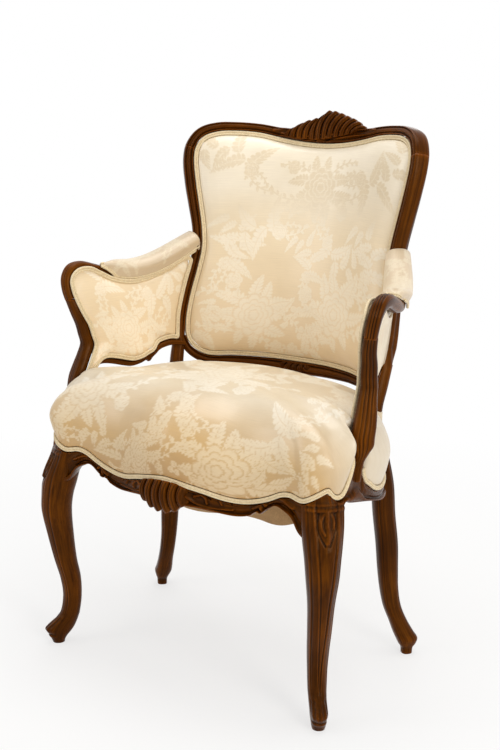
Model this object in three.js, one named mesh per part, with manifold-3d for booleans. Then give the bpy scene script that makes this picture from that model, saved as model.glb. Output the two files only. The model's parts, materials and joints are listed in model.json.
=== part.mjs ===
// An upholstered open armchair in the Louis XV manner: a carved and moulded walnut frame on cabriole legs,
// a concave cartouche back, sprung serpentine seat, closed upholstered arm panels and padded arms.
// Millimetres, +Z up. The sitter faces -Y and +X is on the sitter's left hand, the viewer's right.
import * as THREE from "three";
import { mergeVertices } from "three/addons/utils/BufferGeometryUtils.js";
import Module from "manifold-3d";

const wasm = await Module();
wasm.setup();

// Clearance between pieces that touch
const fit = 0.3;
// Clearance of cloth and cord from curved wood, and from each other
const ease = 1;
// How far a cutting solid runs past what it cuts
const overrun = 10;

// Seat frame in plan, measured from the middle of the chair
const railTop = 430;
const railThick = 26;
const frontHalf = 262;
const frontBow = 42;
const sideHalf = 302;
const sideStartY = 8;
const sideRun = 300;
const rearCentreY = 378;
const rearBow = 74;
const rearHalf = 228;

// Front legs: spread of the feet, sweep of the curve and width at the knee
const frontFootX = 286;
const frontLegSweep = 29;
const frontLegWidth = 56;
const frontLegTurn = THREE.MathUtils.degToRad(-52);

// Back posts: each is one piece from the foot to the shoulder of the back
const rearFootX = 289;
const rearFootY = 342;
const rearSweepX = 61;
const rearSweepY = 45;
const rearLegWidth = 40;
const postTurn = THREE.MathUtils.degToRad(-39.7);
const neckTop = 552;
const stileStart = 588;
const shoulderJoint = 925;

// The back: a raked surface, hollow from side to side
const backBase = 519;
const backBaseY = 399;
const backLean = 97;
const backHollow = 103.5;
const backHalf = 234;
const backRise = 441;
const stileFace = 20;
const stileDeep = 30;
const tongueReach = 13;

// The carved crest and the ornaments of the rails
const crestRise = 54;
const crestDeep = 15;
const flowerHigh = 24;
const flowerProud = 4;
const shellHigh = 46;
const shellDrop = 16;
const shellProud = 7;

// Upholstery
const cordWide = 9;
const cordDeep = 8;
const cordProud = 2.5;
const backCrown = 22;
const coverThick = 4;
const skirtThick = 9;
const seatCrownTop = 541;
const seatCentreY = 150;
const rebateDeep = skirtThick + 1.5 * ease;
const seatBulge = 9;
const seatRecessTop = 480;

// Arms: the support is let into the side rail, rises and scrolls back into the arm
const armFootZ = 414;
const armJointZ = 656;
const armPostX = 306;
const armPostY = 60;
const armPostSweep = 81;
const armPostWidth = 40;
const armPostTurn = THREE.MathUtils.degToRad(35);
const armSpread = 320;
const armFrontY = 89;
const armRise = 104;
const armTurn = THREE.MathUtils.degToRad(18);
const armRailWidth = 28;
const armRailHigh = 24;
const armPadSide = 13;
const armPadRise = 19;
const armBow = 20;
const panelShift = 6;
const panelThick = 11;
const panelCore = 6;
const panelRailHigh = 9;
const panelRailThick = 16;

// Inside the seat
const blockLeg = 62;
const blockHigh = 36;
const webThick = 2;
const webTop = 390;
const webSag = 60;
const springRadius = 40;
const springWaist = 29;
const springWire = 4.4;
const springTurns = 2.5;
const hessianThick = 2;
const dustThick = 1.6;
const dustTop = 384;
const dustSag = 84;

// Tenons
const tenonThick = 10;
const tenonLong = 20;

const mix = (a, b, share) => a + (b - a) * share;
const vec = (x, y, z) => new THREE.Vector3(x, y, z);

// Smooth curve through the rows of a table: the first column is where, the others are what
function tableCurve(rows, column = 1) {
  const slope = (i) => {
    const a = rows[Math.max(i - 1, 0)];
    const b = rows[Math.min(i + 1, rows.length - 1)];
    return (b[column] - a[column]) / (b[0] - a[0]);
  };
  return (at) => {
    const where = THREE.MathUtils.clamp(at, rows[0][0], rows[rows.length - 1][0]);
    let i = 0;
    while (i < rows.length - 2 && where > rows[i + 1][0]) i += 1;
    const run = rows[i + 1][0] - rows[i][0];
    const t = (where - rows[i][0]) / run;
    const stay = (1 + 2 * t) * (1 - t) ** 2 * rows[i][column] + t * t * (3 - 2 * t) * rows[i + 1][column];
    const turn = t * (1 - t) ** 2 * slope(i) - t * t * (1 - t) * slope(i + 1);
    return stay + run * turn;
  };
}

// Closed body from rings of equal point counts; an open run gets a flat cap at each end
function loft(rings, closedRun = false) {
  const count = rings[0].length;
  const places = rings.flat().flatMap((p) => [p.x, p.y, p.z]);
  const faces = [];
  const runs = closedRun ? rings.length : rings.length - 1;
  for (let i = 0; i < runs; i += 1) {
    const next = ((i + 1) % rings.length) * count;
    for (let j = 0; j < count; j += 1) {
      const k = (j + 1) % count;
      faces.push(i * count + j, i * count + k, next + k, i * count + j, next + k, next + j);
    }
  }
  if (!closedRun) {
    for (const [ring, first] of [[rings[0], 0], [rings[rings.length - 1], (rings.length - 1) * count]]) {
      const middle = ring.reduce((sum, p) => sum.add(p), vec(0, 0, 0)).divideScalar(count);
      const hub = places.length / 3;
      places.push(middle.x, middle.y, middle.z);
      for (let j = 0; j < count; j += 1) {
        const k = (j + 1) % count;
        faces.push(...(first === 0 ? [hub, first + k, first + j] : [hub, first + j, first + k]));
      }
    }
  }
  return solidFrom(places, faces);
}

// Closed body of a patch: two layers of columns by rows, joined round the edge
function patch(columns, rows, place) {
  const places = [];
  const faces = [];
  for (const layer of [0, 1]) {
    for (let j = 0; j <= rows; j += 1) {
      for (let i = 0; i <= columns; i += 1) {
        const p = place(i / columns, j / rows, layer);
        places.push(p.x, p.y, p.z);
      }
    }
  }
  const layerCount = (columns + 1) * (rows + 1);
  const at = (i, j, layer) => layer * layerCount + j * (columns + 1) + i;
  for (let j = 0; j < rows; j += 1) {
    for (let i = 0; i < columns; i += 1) {
      const quad = [[i, j], [i + 1, j], [i + 1, j + 1], [i, j + 1]];
      const [a, b, c, d] = quad.map(([k, l]) => at(k, l, 0));
      const [e, f, g, h] = quad.map(([k, l]) => at(k, l, 1));
      faces.push(a, b, c, a, c, d, e, g, f, e, h, g);
    }
  }
  const rim = [];
  for (let i = 0; i < columns; i += 1) rim.push([i, 0]);
  for (let j = 0; j < rows; j += 1) rim.push([columns, j]);
  for (let i = columns; i > 0; i -= 1) rim.push([i, rows]);
  for (let j = rows; j > 0; j -= 1) rim.push([0, j]);
  rim.forEach(([i, j], n) => {
    const [k, l] = rim[(n + 1) % rim.length];
    faces.push(at(i, j, 0), at(k, l, 1), at(k, l, 0), at(i, j, 0), at(i, j, 1), at(k, l, 1));
  });
  return solidFrom(places, faces);
}

// Manifold solid from places and faces, turned so that its faces point out
function solidFrom(places, faces) {
  const geometry = new THREE.BufferGeometry();
  geometry.setAttribute("position", new THREE.Float32BufferAttribute(places, 3));
  geometry.setIndex(faces);
  return solidOf(geometry);
}

function solidOf(geometry) {
  const bare = geometry.clone();
  bare.deleteAttribute("normal");
  bare.deleteAttribute("uv");
  const merged = mergeVertices(bare);
  const triVerts = new Uint32Array(merged.index.array);
  const vertProperties = new Float32Array(merged.attributes.position.array);
  const made = new wasm.Manifold(new wasm.Mesh({ numProp: 3, vertProperties, triVerts }));
  if (made.volume() > 0) return made;
  for (let i = 0; i < triVerts.length; i += 3) {
    [triVerts[i + 1], triVerts[i + 2]] = [triVerts[i + 2], triVerts[i + 1]];
  }
  return new wasm.Manifold(new wasm.Mesh({ numProp: 3, vertProperties, triVerts }));
}

function geometryOf(solid) {
  const mesh = solid.getMesh();
  const geometry = new THREE.BufferGeometry();
  geometry.setAttribute("position", new THREE.Float32BufferAttribute(mesh.vertProperties, 3));
  geometry.setIndex(Array.from(mesh.triVerts));
  return geometry;
}

// The same solid on the other side of the chair
function mirrored(solid) {
  const geometry = geometryOf(solid);
  geometry.applyMatrix4(new THREE.Matrix4().makeScale(-1, 1, 1));
  return solidOf(geometry);
}

// The largest body of a cut, where a cut leaves slivers behind
function mainBody(solid) {
  return solid.decompose().reduce((best, body) => (body.volume() > best.volume() ? body : best));
}

// Unit section of a rounded square: power 2 is round and higher is squarer
function roundSection(count, power) {
  return Array.from({ length: count }, (_, j) => {
    const angle = ((j + 0.5) / count) * Math.PI * 2;
    const round = (v) => Math.sign(v) * Math.abs(v) ** (2 / power);
    return [round(Math.cos(angle)), round(Math.sin(angle))];
  });
}

function sectionRing(centre, across, along, halfAcross, halfAlong, section) {
  return section.map(([a, b]) => centre.clone()
    .addScaledVector(across, a * halfAcross)
    .addScaledVector(along, b * halfAlong));
}

const cordSides = 5;
// Closed run or open run of an oval cord along points, each with the direction that faces out of the cloth
function cordBody(points, faceOut, closedRun, grow = 0, wide = cordWide, deep = cordDeep) {
  const section = roundSection(cordSides, 2.1);
  const rings = points.map((p, i) => {
    const before = points[closedRun ? (i + points.length - 1) % points.length : Math.max(i - 1, 0)];
    const after = points[closedRun ? (i + 1) % points.length : Math.min(i + 1, points.length - 1)];
    const run = after.clone().sub(before).normalize();
    const across = run.clone().cross(faceOut[i]).normalize();
    const out = across.clone().cross(run).normalize();
    return sectionRing(p, across, out, wide / 2 + grow, deep / 2 + grow, section);
  });
  return loft(rings, closedRun);
}

// A box along a direction, used for tenons and the mortises that take them
function barBody(start, direction, long, thick, high, grow = 0) {
  const geometry = new THREE.BoxGeometry(long + 2 * grow, thick + 2 * grow, high + 2 * grow);
  const x = direction.clone().normalize();
  const side = Math.abs(x.z) > Math.SQRT1_2 ? vec(1, 0, 0) : vec(0, 0, 1);
  const y = side.clone().cross(x).normalize();
  const z = x.clone().cross(y);
  geometry.applyMatrix4(new THREE.Matrix4().makeBasis(x, y, z));
  const middle = start.clone().addScaledVector(x, long / 2);
  geometry.translate(middle.x, middle.y, middle.z);
  return solidOf(geometry);
}

// Outline of the seat in plan
// Share of the half width, share of the bow
const frontPlanShares = [
  [0, 1], [0.15, 0.9], [0.3, 0.57], [0.45, 0.2], [0.58, 0.04], [0.73, 0], [0.86, 0.07], [1, 0.22],
  [1.15, 0.3],
];
// Share of the side run, share of the half width
const sidePlanShares = [
  [0, 0.97], [0.12, 0.99], [0.3, 1], [0.45, 1], [0.6, 0.975], [0.75, 0.92], [0.88, 0.845], [1, 0.76],
];
const frontPlan = tableCurve(frontPlanShares);
const sidePlan = tableCurve(sidePlanShares);
const frontY = (x) => -frontBow * frontPlan(Math.abs(x) / frontHalf);
const sideX = (y) => sideHalf * sidePlan((y - sideStartY) / sideRun);
const rearY = (x) => rearCentreY - rearBow * (x / rearHalf) ** 2;

// Seat outline as a closed run of plan points with outward directions, from the middle of the front
const cornerShares = [0.2, 0.4, 0.6, 0.8];
const seatCount = 56;
function seatOutline() {
  const half = [];
  const frontEnd = frontHalf * 0.97;
  for (let i = 0; i <= 12; i += 1) half.push([frontEnd * i / 12, frontY(frontEnd * i / 12)]);
  const cornerStart = half[half.length - 1];
  const cornerEnd = [sideX(sideStartY + sideRun * 0.14), sideStartY + sideRun * 0.14];
  const elbow = [sideX(sideStartY) * 0.995, frontY(frontHalf) * 1.4];
  for (const t of cornerShares) {
    const bend = (k) => (1 - t) ** 2 * cornerStart[k] + 2 * t * (1 - t) * elbow[k] + t * t * cornerEnd[k];
    half.push([bend(0), bend(1)]);
  }
  for (let i = 0; i <= 12; i += 1) {
    const y = mix(cornerEnd[1], sideStartY + sideRun, i / 12);
    half.push([sideX(y), y]);
  }
  const rearStart = half[half.length - 1];
  const rearEnd = rearStart[0] - railThick;
  half.push([rearStart[0] - railThick * 0.35, rearY(rearEnd) + railThick * 0.2]);
  for (let i = 0; i <= 8; i += 1) {
    const x = mix(rearEnd, 0, i / 8);
    half.push([x, rearY(x)]);
  }
  const whole = half.concat(half.slice(1, -1).reverse().map(([x, y]) => [-x, y]));
  const curve = new THREE.CatmullRomCurve3(whole.map(([x, y]) => vec(x, y, 0)), true, "centripetal");
  const points = curve.getSpacedPoints(seatCount).slice(0, seatCount);
  const outward = points.map((p, i) => {
    const run = points[(i + 1) % seatCount].clone().sub(points[(i + seatCount - 1) % seatCount]).normalize();
    return vec(run.y, -run.x, 0);
  });
  return { points, outward };
}
const outline = seatOutline();

// Height of the lower edge of the cover: along the front by share of the half width, along the side by share
const coverFrontShares = [
  [0, 0.935], [0.13, 0.923], [0.27, 0.902], [0.4, 0.879], [0.5, 0.874], [0.6, 0.885], [0.69, 0.905],
  [0.78, 0.933],
  [0.86, 0.942], [0.95, 0.933], [1.03, 0.958], [1.11, 0.99], [1.17, 0.975],
];
const coverSideShares = [
  [0, 0.972], [0.05, 0.992], [0.15, 0.998], [0.26, 0.998], [0.29, 0.97], [0.36, 0.933], [0.45, 0.907],
  [0.58, 0.888], [0.7, 0.884], [1, 0.884],
];
const coverFront = tableCurve(coverFrontShares);
const coverSide = tableCurve(coverSideShares);
function coverEdgeZ(p) {
  if (p.y < sideStartY + sideRun * 0.02) return railTop * coverFront(Math.abs(p.x) / frontHalf);
  if (p.y > rearY(p.x) - railThick) return railTop * coverSide(1);
  return railTop * coverSide((p.y - sideStartY) / sideRun);
}

// Seat cover and stuffing: a skirt over the rails, drawn in at the edge and crowned over the springs
// Share of the way out to the edge, share of the rise above the edge, share of the bulge
const seatProfileShares = [
  [1, 0, 0], [1, 0.13, 0.6], [1, 0.3, 1], [0.985, 0.46, 0.7], [0.945, 0.62, 0.3], [0.86, 0.77, 0.1],
  [0.62, 0.93, 0], [0.05, 1, 0],
];
// The hollow under the stuffing, over the springs: scale from the middle out, share of its rise
const hollowShares = [[0.05, 1], [0.66, 1], [0.86, 0]];
const seatCentre = vec(0, seatCentreY, 0);
const seatRing = (scale, push, heightAt) => outline.points.map((p, i) => {
  const flat = p.clone().addScaledVector(outline.outward[i], push).sub(seatCentre);
  const place = flat.multiplyScalar(scale).add(seatCentre);
  return place.setZ(heightAt(p));
});
function seatSolid() {
  const under = railTop + hessianThick + 2 * fit;
  const hollowAt = (rise) => () => mix(under, seatRecessTop, rise);
  const rings = hollowShares.map(([scale, rise]) => seatRing(scale, 0, hollowAt(rise)));
  const low = (p) => Math.min(coverEdgeZ(p), under - fit);
  rings.push(seatRing(1, -skirtThick, () => under));
  rings.push(seatRing(1, -skirtThick, low));
  for (const [scale, rise, bulge] of seatProfileShares) {
    const heightAt = (p) => (rise === 0 ? low(p) : mix(coverEdgeZ(p), seatCrownTop, rise));
    rings.push(seatRing(scale, seatBulge * bulge, heightAt));
  }
  return loft(rings);
}

// Lower end of the rebate that takes the skirt and its cord
const sillZ = (p) => coverEdgeZ(p) - cordWide - 2 * ease - 3 * fit;

// What the skirt and its cord take away from the wood behind them
function rebateCut() {
  const wall = -rebateDeep;
  return loft([
    seatRing(0.5, wall, () => railTop), seatRing(1, wall, () => railTop), seatRing(1, wall, sillZ),
    seatRing(1, 3 * overrun, sillZ), seatRing(1, 3 * overrun, () => railTop + overrun),
    seatRing(0.5, wall, () => railTop + overrun),
  ]);
}

// The back: its surface, the outline of its field and the frame that follows it
function backPoint(x, z) {
  return vec(x, backBaseY + backLean * ((z - backBase) / backRise) - backHollow * (x / backHalf) ** 2, z);
}

// Share of the half width, share of the rise: from the middle of the foot round to the middle of the top
const backFieldShares = [
  [0, -0.002], [0.3, 0.001], [0.56, 0.002], [0.735, 0.002], [0.842, 0.034], [0.9, 0.086], [0.919, 0.165],
  [0.91, 0.275], [0.885, 0.39], [0.872, 0.48], [0.889, 0.57], [0.927, 0.673], [0.966, 0.773], [0.996, 0.875],
  [0.991, 0.93], [0.945, 0.975], [0.855, 0.995], [0.727, 0.998], [0.556, 0.99], [0.385, 0.97], [0.19, 0.953],
  [0, 0.947],
];
const fieldHalf = backFieldShares.map(([x, z]) => vec(x * backHalf, 0, backBase + z * backRise));
const fieldCurve = new THREE.CatmullRomCurve3(
  fieldHalf.concat(fieldHalf.slice(1, -1).reverse().map((p) => vec(-p.x, 0, p.z))),
  true,
  "centripetal",
);

// Frame of the back at a share of the way round: a place on the field's edge, outward and backward directions
function backStation(share) {
  const place = (s) => {
    const flat = fieldCurve.getPointAt(((s % 1) + 1) % 1);
    return backPoint(flat.x, flat.z);
  };
  const step = 0.004;
  const edge = place(share);
  const run = place(share + step).sub(place(share - step)).normalize();
  const acrossX = backPoint(edge.x + fit, edge.z).sub(backPoint(edge.x - fit, edge.z));
  const acrossZ = backPoint(edge.x, edge.z + fit).sub(backPoint(edge.x, edge.z - fit));
  const back = acrossZ.cross(acrossX).normalize();
  const out = back.clone().cross(run).normalize();
  return { edge, out, back };
}

// Share of the way round at which the right side of the field reaches a height
function shareAtHeight(z) {
  let low = 0.1;
  let high = 0.36;
  for (let i = 0; i < 40; i += 1) {
    const middle = (low + high) / 2;
    if (fieldCurve.getPointAt(middle).z < z) low = middle;
    else high = middle;
  }
  return low;
}

// Face width of the frame, by the share from the middle of the foot to the middle of the top
const faceWidthShares = [
  [0, 1.25], [0.12, 1.05], [0.24, 0.8], [0.34, 0.8], [0.5, 0.88], [0.62, 1], [0.72, 0.95], [0.8, 0.85],
  [0.88, 0.92],
  [0.94, 1.2], [1, 1.35],
];
const faceWidth = tableCurve(faceWidthShares);

// Depth of the outer side of the frame, by the same share
const sideDepthShares = [
  [0, 1], [0.1, 0.8], [0.2, 0.62], [0.32, 0.66], [0.45, 0.8], [0.6, 0.92], [0.75, 1], [1, 1],
];
const sideDepth = tableCurve(sideDepthShares);

// Moulded section: share of the face width outward, share of the depth back; -1 is the end of the tongue
const frameSectionShares = [
  [0, 0.06], [0.13, -0.03], [0.32, 0.05], [0.55, 0.06], [0.8, -0.01], [1, 0.16],
  [1, 0.6], [0.75, 1], [0.25, 1], [0, 0.8], [0, 0.67], [-1, 0.66], [-1, 0.26], [0, 0.25],
];
function frameRing(share, grow = 0) {
  const { edge, out, back } = backStation(share);
  const fold = 1 - Math.abs(1 - 2 * share);
  const wide = stileFace * faceWidth(fold);
  return frameSectionShares.map(([a, b]) => {
    const across = a < 0 ? -tongueReach : a * wide;
    const deep = a > 0.5 ? stileDeep * sideDepth(fold) : stileDeep;
    const pushAcross = a > 0.5 ? grow : a <= 0 ? -grow : 0;
    const pushAlong = b > 0.5 ? grow : -grow;
    return edge.clone().addScaledVector(out, across + pushAcross).addScaledVector(back, b * deep + pushAlong);
  });
}

// A plain ring with as many points as the frame's section, at the same angles about its middle
function postRing(centre, across, along, halfAcross, halfAlong, power) {
  const section = frameSectionShares.map(([a, b]) => {
    const angle = Math.atan2(b - 0.5, a - 0.5);
    const c = Math.cos(angle);
    const s = Math.sin(angle);
    const reach = (Math.abs(c) ** power + Math.abs(s) ** power) ** (-1 / power);
    return [c * reach, s * reach];
  });
  return sectionRing(centre, across, along, halfAcross, halfAlong, section);
}

// Back post: height share to the top of the neck, sweep shares in x and y, width shares across and along
const backPostShares = [
  [0, 0, 0, 0.55, 0.55], [0.018, 0.016, 0, 0.65, 0.68], [0.045, 0.08, 0.02, 0.8, 1],
  [0.076, 0.164, 0.09, 0.8, 0.95],
  [0.118, 0.295, 0.22, 0.78, 0.85], [0.172, 0.46, 0.38, 0.78, 0.82], [0.236, 0.565, 0.45, 0.82, 0.85],
  [0.308, 0.62, 0.49, 0.9, 0.93], [0.399, 0.67, 0.53, 0.95, 1], [0.507, 0.754, 0.67, 0.98, 1],
  [0.616, 0.81, 0.78, 1, 1], [0.728, 0.95, 0.93, 0.88, 0.88], [0.815, 1.09, 1, 0.72, 0.72],
  [0.87, 1.11, 0.93, 0.7, 0.72], [0.933, 1.06, 0.71, 0.68, 0.74], [1, 1, 0.45, 0.6, 0.68],
];
const joinShare = shareAtHeight(shoulderJoint);
function backPost(grow = 0) {
  const across = vec(Math.cos(postTurn), Math.sin(postTurn), 0);
  const along = vec(-across.y, across.x, 0);
  const rings = backPostShares.map(([rise, inX, inY, wide, deep]) => {
    const centre = vec(rearFootX - inX * rearSweepX, rearFootY - inY * rearSweepY, rise * neckTop);
    const half = rearLegWidth / 2;
    return postRing(centre, across, along, half * wide + grow, half * deep + grow, 2.6);
  });
  const startShare = shareAtHeight(stileStart);
  const stations = 8;
  for (let i = 0; i <= stations; i += 1) {
    rings.push(frameRing(mix(startShare, joinShare, i / stations), grow));
  }
  return loft(rings);
}

function frameRun(from, to, stations, grow = 0) {
  return loft(Array.from({ length: stations + 1 }, (_, i) => frameRing(mix(from, to, i / stations), grow)));
}

// Front leg: height share of the rail top, share of the sweep in from the foot, width shares out and across
const frontLegShares = [
  [0, 0, 0.41, 0.39], [0.014, -0.02, 0.48, 0.44], [0.033, 0, 0.66, 0.48], [0.047, 0.04, 0.82, 0.51],
  [0.07, 0.14, 0.98, 0.53], [0.107, 0.55, 0.8, 0.55], [0.14, 0.83, 0.66, 0.57], [0.214, 1, 0.63, 0.6],
  [0.302, 0.9, 0.7, 0.66], [0.395, 0.59, 0.77, 0.72], [0.512, 0.31, 0.89, 0.8], [0.628, 0.1, 1.02, 0.98],
  [0.698, 0.17, 1.07, 1.07], [0.767, 0.36, 1.18, 1.18], [0.837, 0.55, 1.24, 1.26], [0.92, 0.78, 1.16, 1.25],
  [1, 0.95, 1, 1.15],
];
function frontLeg(grow = 0) {
  const outward = vec(Math.cos(frontLegTurn), Math.sin(frontLegTurn), 0);
  const across = vec(-outward.y, outward.x, 0);
  const section = roundSection(12, 1.9);
  return loft(frontLegShares.map(([rise, sweep, wide, deep]) => {
    const centre = vec(frontFootX, 0, rise * railTop).addScaledVector(outward, -sweep * frontLegSweep);
    const half = frontLegWidth / 2;
    return sectionRing(centre, outward, across, half * wide + grow, half * deep + grow, section);
  }));
}

// Lower edges of the rails as shares of the rail top
const frontDropShares = [
  [0, 0.822], [0.19, 0.82], [0.25, 0.816], [0.34, 0.807], [0.46, 0.798], [0.56, 0.809], [0.61, 0.83],
  [0.64, 0.826],
  [0.68, 0.847], [0.75, 0.872], [0.82, 0.858], [0.88, 0.833], [0.93, 0.786], [1, 0.76],
];
const sideDropShares = [
  [0, 0.8], [0.06, 0.84], [0.12, 0.905], [0.2, 0.89], [0.3, 0.875], [0.43, 0.855], [0.62, 0.823],
  [0.8, 0.805], [1, 0.79],
];
const rearDropShares = [[0, 0.83], [0.5, 0.82], [0.8, 0.8], [1, 0.79]];
const frontDrop = tableCurve(frontDropShares);
const sideDrop = tableCurve(sideDropShares);
const rearDrop = tableCurve(rearDropShares);

// Section of a seat rail below its rebate: share of its thickness inward, share of the face's height up
const railSectionShares = [
  [0.02, 1], [0.02, 0.72], [-0.05, 0.6], [0.05, 0.45], [0.02, 0.25], [-0.09, 0.1], [0.12, 0], [1, 0],
];
function railRing(outer, inward, lowZ, grow) {
  const sill = sillZ(outer);
  const face = railSectionShares.map(([deep, rise]) => [deep * railThick, mix(lowZ, sill, rise)]);
  const rebate = [[railThick, railTop], [rebateDeep, railTop], [rebateDeep, sill]];
  return face.concat(rebate).map(([deep, z]) => outer.clone()
    .addScaledVector(inward, deep + (deep > railThick * 0.5 ? grow : -grow))
    .setZ(z < sill ? z : z + grow));
}

// Rings along a rail: the place of its outer face at each share and the lower edge there
function railRun(stations, placeAt, lowAt, grow) {
  const rings = Array.from({ length: stations + 1 }, (_, i) => {
    const share = i / stations;
    const outer = placeAt(share);
    const run = placeAt(share + overrun * 1e-4).sub(placeAt(share - overrun * 1e-4)).normalize();
    return railRing(outer, vec(-run.y, run.x, 0), railTop * lowAt(share), grow);
  });
  return loft(rings);
}
const sideRailEnd = sideStartY + sideRun * 0.93;
const frontRail = (grow = 0) => railRun(24, (share) => {
  const x = mix(-frontHalf, frontHalf, share);
  return vec(x, frontY(x), 0);
}, (share) => frontDrop(Math.abs(2 * share - 1)), grow);
const sideRail = (grow = 0) => railRun(13, (share) => {
  const y = mix(sideStartY, sideRailEnd, share);
  return vec(sideX(y), y, 0);
}, sideDrop, grow);
const rearRail = (grow = 0) => railRun(8, (share) => {
  const x = mix(rearHalf, -rearHalf, share);
  return vec(x, rearY(x), 0);
}, (share) => rearDrop(Math.abs(2 * share - 1)), grow);

// A carved fan of lobes that spread from a root; lengths are given round the fan as shares of its reach
// Share of the way from the root to the rim, share of the depth
const fanProfileShares = [[0, 0.5], [0.34, 0.85], [0.67, 1], [1, 0.45]];
const fanProfile = tableCurve(fanProfileShares);
function fan({ root, up, right, faceOut, lobes, spreadShare, lengths, reach, deep }) {
  const length = tableCurve(lengths);
  return patch(2 * lobes, 3, (u, v, layer) => {
    const angle = (2 * u - 1) * spreadShare * Math.PI;
    const ridge = Math.round(2 * lobes * u) % 2;
    const far = reach * length(u) * mix(0.14, 1, v) * (1 - 0.13 * v * (1 - ridge));
    const ray = up.clone().multiplyScalar(Math.cos(angle)).addScaledVector(right, Math.sin(angle));
    const lift = layer === 1 ? mix(0.45, 1, ridge) * fanProfile(v) : -0.4;
    return root.clone().addScaledVector(ray, far).addScaledVector(faceOut, deep * lift);
  });
}
// Share of the way round the fan, share of the reach
const crestLengthShares = [
  [0, 1.12], [0.12, 1.2], [0.25, 1.06], [0.38, 0.97], [0.5, 1], [0.62, 0.98], [0.75, 1.04],
  [0.88, 1.16], [1, 1.08],
];
const shellLengthShares = [
  [0, 0.8], [0.2, 0.88], [0.35, 0.96], [0.5, 1], [0.65, 0.96], [0.8, 0.88], [1, 0.8],
];
const flowerLengthShares = [[0, 1.6], [0.25, 1.2], [0.5, 1], [0.75, 1.2], [1, 1.6]];
const sideways = vec(1, 0, 0);
function crestFan() {
  const rootZ = backBase + backRise * 0.968;
  const up = backPoint(0, rootZ + crestRise).sub(backPoint(0, rootZ)).normalize();
  return fan({
    root: backPlace(0, rootZ, stileDeep * 0.35),
    up,
    right: sideways,
    faceOut: sideways.clone().cross(up),
    lobes: 7,
    spreadShare: 0.47,
    lengths: crestLengthShares,
    reach: crestRise / up.z,
    deep: crestDeep,
  });
}
function railShell() {
  return fan({
    root: vec(0, -frontBow + railThick * 0.2, railTop * frontDrop(0) + shellHigh - shellDrop),
    up: vec(0, 0, -1),
    right: sideways,
    faceOut: vec(0, -1, 0),
    lobes: 5,
    spreadShare: 0.44,
    lengths: shellLengthShares,
    reach: shellHigh,
    deep: shellProud + railThick * 0.2,
  });
}
function lowerFlower() {
  return fan({
    root: backPlace(0, backBase - fit, stileDeep * 0.2),
    up: vec(0, 0, -1),
    right: sideways,
    faceOut: vec(0, -1, 0),
    lobes: 3,
    spreadShare: 0.42,
    lengths: flowerLengthShares,
    reach: flowerHigh,
    deep: flowerProud + stileDeep * 0.2,
  });
}

// Arm support: height, sweep in x and y, widths across and along, as shares; its foot stands in the side rail
const armPostShares = [
  [0, 0.977, 0.31, 0.3, 0.28], [0.136, 0.984, 0.32, 0.42, 0.45], [0.2, 0.995, 0.34, 0.6, 0.6],
  [0.254, 1, 0.34, 0.92, 0.66], [0.31, 0.998, 0.35, 1, 0.7], [0.393, 0.998, 0.42, 0.97, 0.7],
  [0.478, 0.99, 0.53, 0.9, 0.68], [0.562, 0.98, 0.64, 0.8, 0.66], [0.636, 0.975, 0.72, 0.75, 0.65],
  [0.711, 0.98, 0.66, 0.73, 0.62], [0.795, 0.988, 0.6, 0.7, 0.62], [0.888, 1, 0.48, 0.65, 0.59],
  [1, 1.02, 0.38, 0.6, 0.57],
];
const armPostColumn = (column) => {
  const curve = tableCurve(armPostShares, column);
  return (z) => curve((z - armFootZ) / (armJointZ - armFootZ));
};
const [armPostOut, armPostBack, armPostWide, armPostDeep] = [1, 2, 3, 4].map(armPostColumn);
const armPostPlace = (z) => vec(armPostX * armPostOut(z), armPostY + armPostSweep * armPostBack(z), z);
const armPostAcross = vec(Math.cos(armPostTurn), Math.sin(armPostTurn), 0);
const armPostAlong = vec(-armPostAcross.y, armPostAcross.x, 0);
function armPost(grow = 0) {
  const section = roundSection(12, 2.6);
  const half = armPostWidth / 2;
  return loft(armPostShares.map(([rise, , , wide, deep]) => {
    const z = mix(armFootZ, armJointZ, rise);
    const end = rise === 0 ? -grow : rise === 1 ? grow : 0;
    const centre = armPostPlace(z).add(vec(0, 0, end));
    return sectionRing(centre, armPostAcross, armPostAlong, half * wide + grow, half * deep + grow, section);
  }));
}

// Arm rail: scrolls over from the support and runs back, bowed outward, into the stile
const armEnd = backPoint(backHalf * 0.9, armJointZ + armRise * 0.8).y + stileDeep * 0.378;
// Share of the spread, share of the run back, share of the rise, width share, height share
const armRailShares = [
  [0.975, 0.007, 0, 0.82, 0.92], [0.989, -0.003, 0.183, 0.85, 0.96], [1, 0.007, 0.365, 0.88, 1],
  [1.003, 0.052, 0.5, 0.9, 1], [0.997, 0.131, 0.529, 0.95, 1], [0.978, 0.241, 0.452, 1, 0.95],
  [0.947, 0.372, 0.34, 1, 0.9], [0.903, 0.51, 0.28, 1, 0.9], [0.85, 0.648, 0.32, 1, 0.9],
  [0.797, 0.776, 0.44, 1, 0.9], [0.744, 0.897, 0.61, 0.95, 0.9], [0.694, 1.014, 0.79, 0.9, 0.9],
];
const armRun = (armEnd - armFrontY) / armRailShares[armRailShares.length - 1][1];
const armLine = new THREE.CatmullRomCurve3(
  armRailShares.map(([x, y, z]) => vec(x * armSpread, armFrontY + y * armRun, armJointZ + z * armRise)),
  false,
  "centripetal",
);
const armSideways = vec(Math.cos(armTurn), Math.sin(armTurn), 0);

// Place on the arm line with its sideways and upward directions
function armStation(share) {
  const t = THREE.MathUtils.clamp(share, 0, 1);
  const run = armLine.getTangent(t);
  const up = run.clone().cross(armSideways).negate().normalize();
  const out = up.clone().cross(run).negate().normalize();
  return { place: armLine.getPoint(t), run, up, out };
}
function armSize(share, column) {
  const at = THREE.MathUtils.clamp(share, 0, 1) * (armRailShares.length - 1);
  const i = Math.min(Math.floor(at), armRailShares.length - 2);
  return mix(armRailShares[i][column], armRailShares[i + 1][column], at - i);
}

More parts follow.
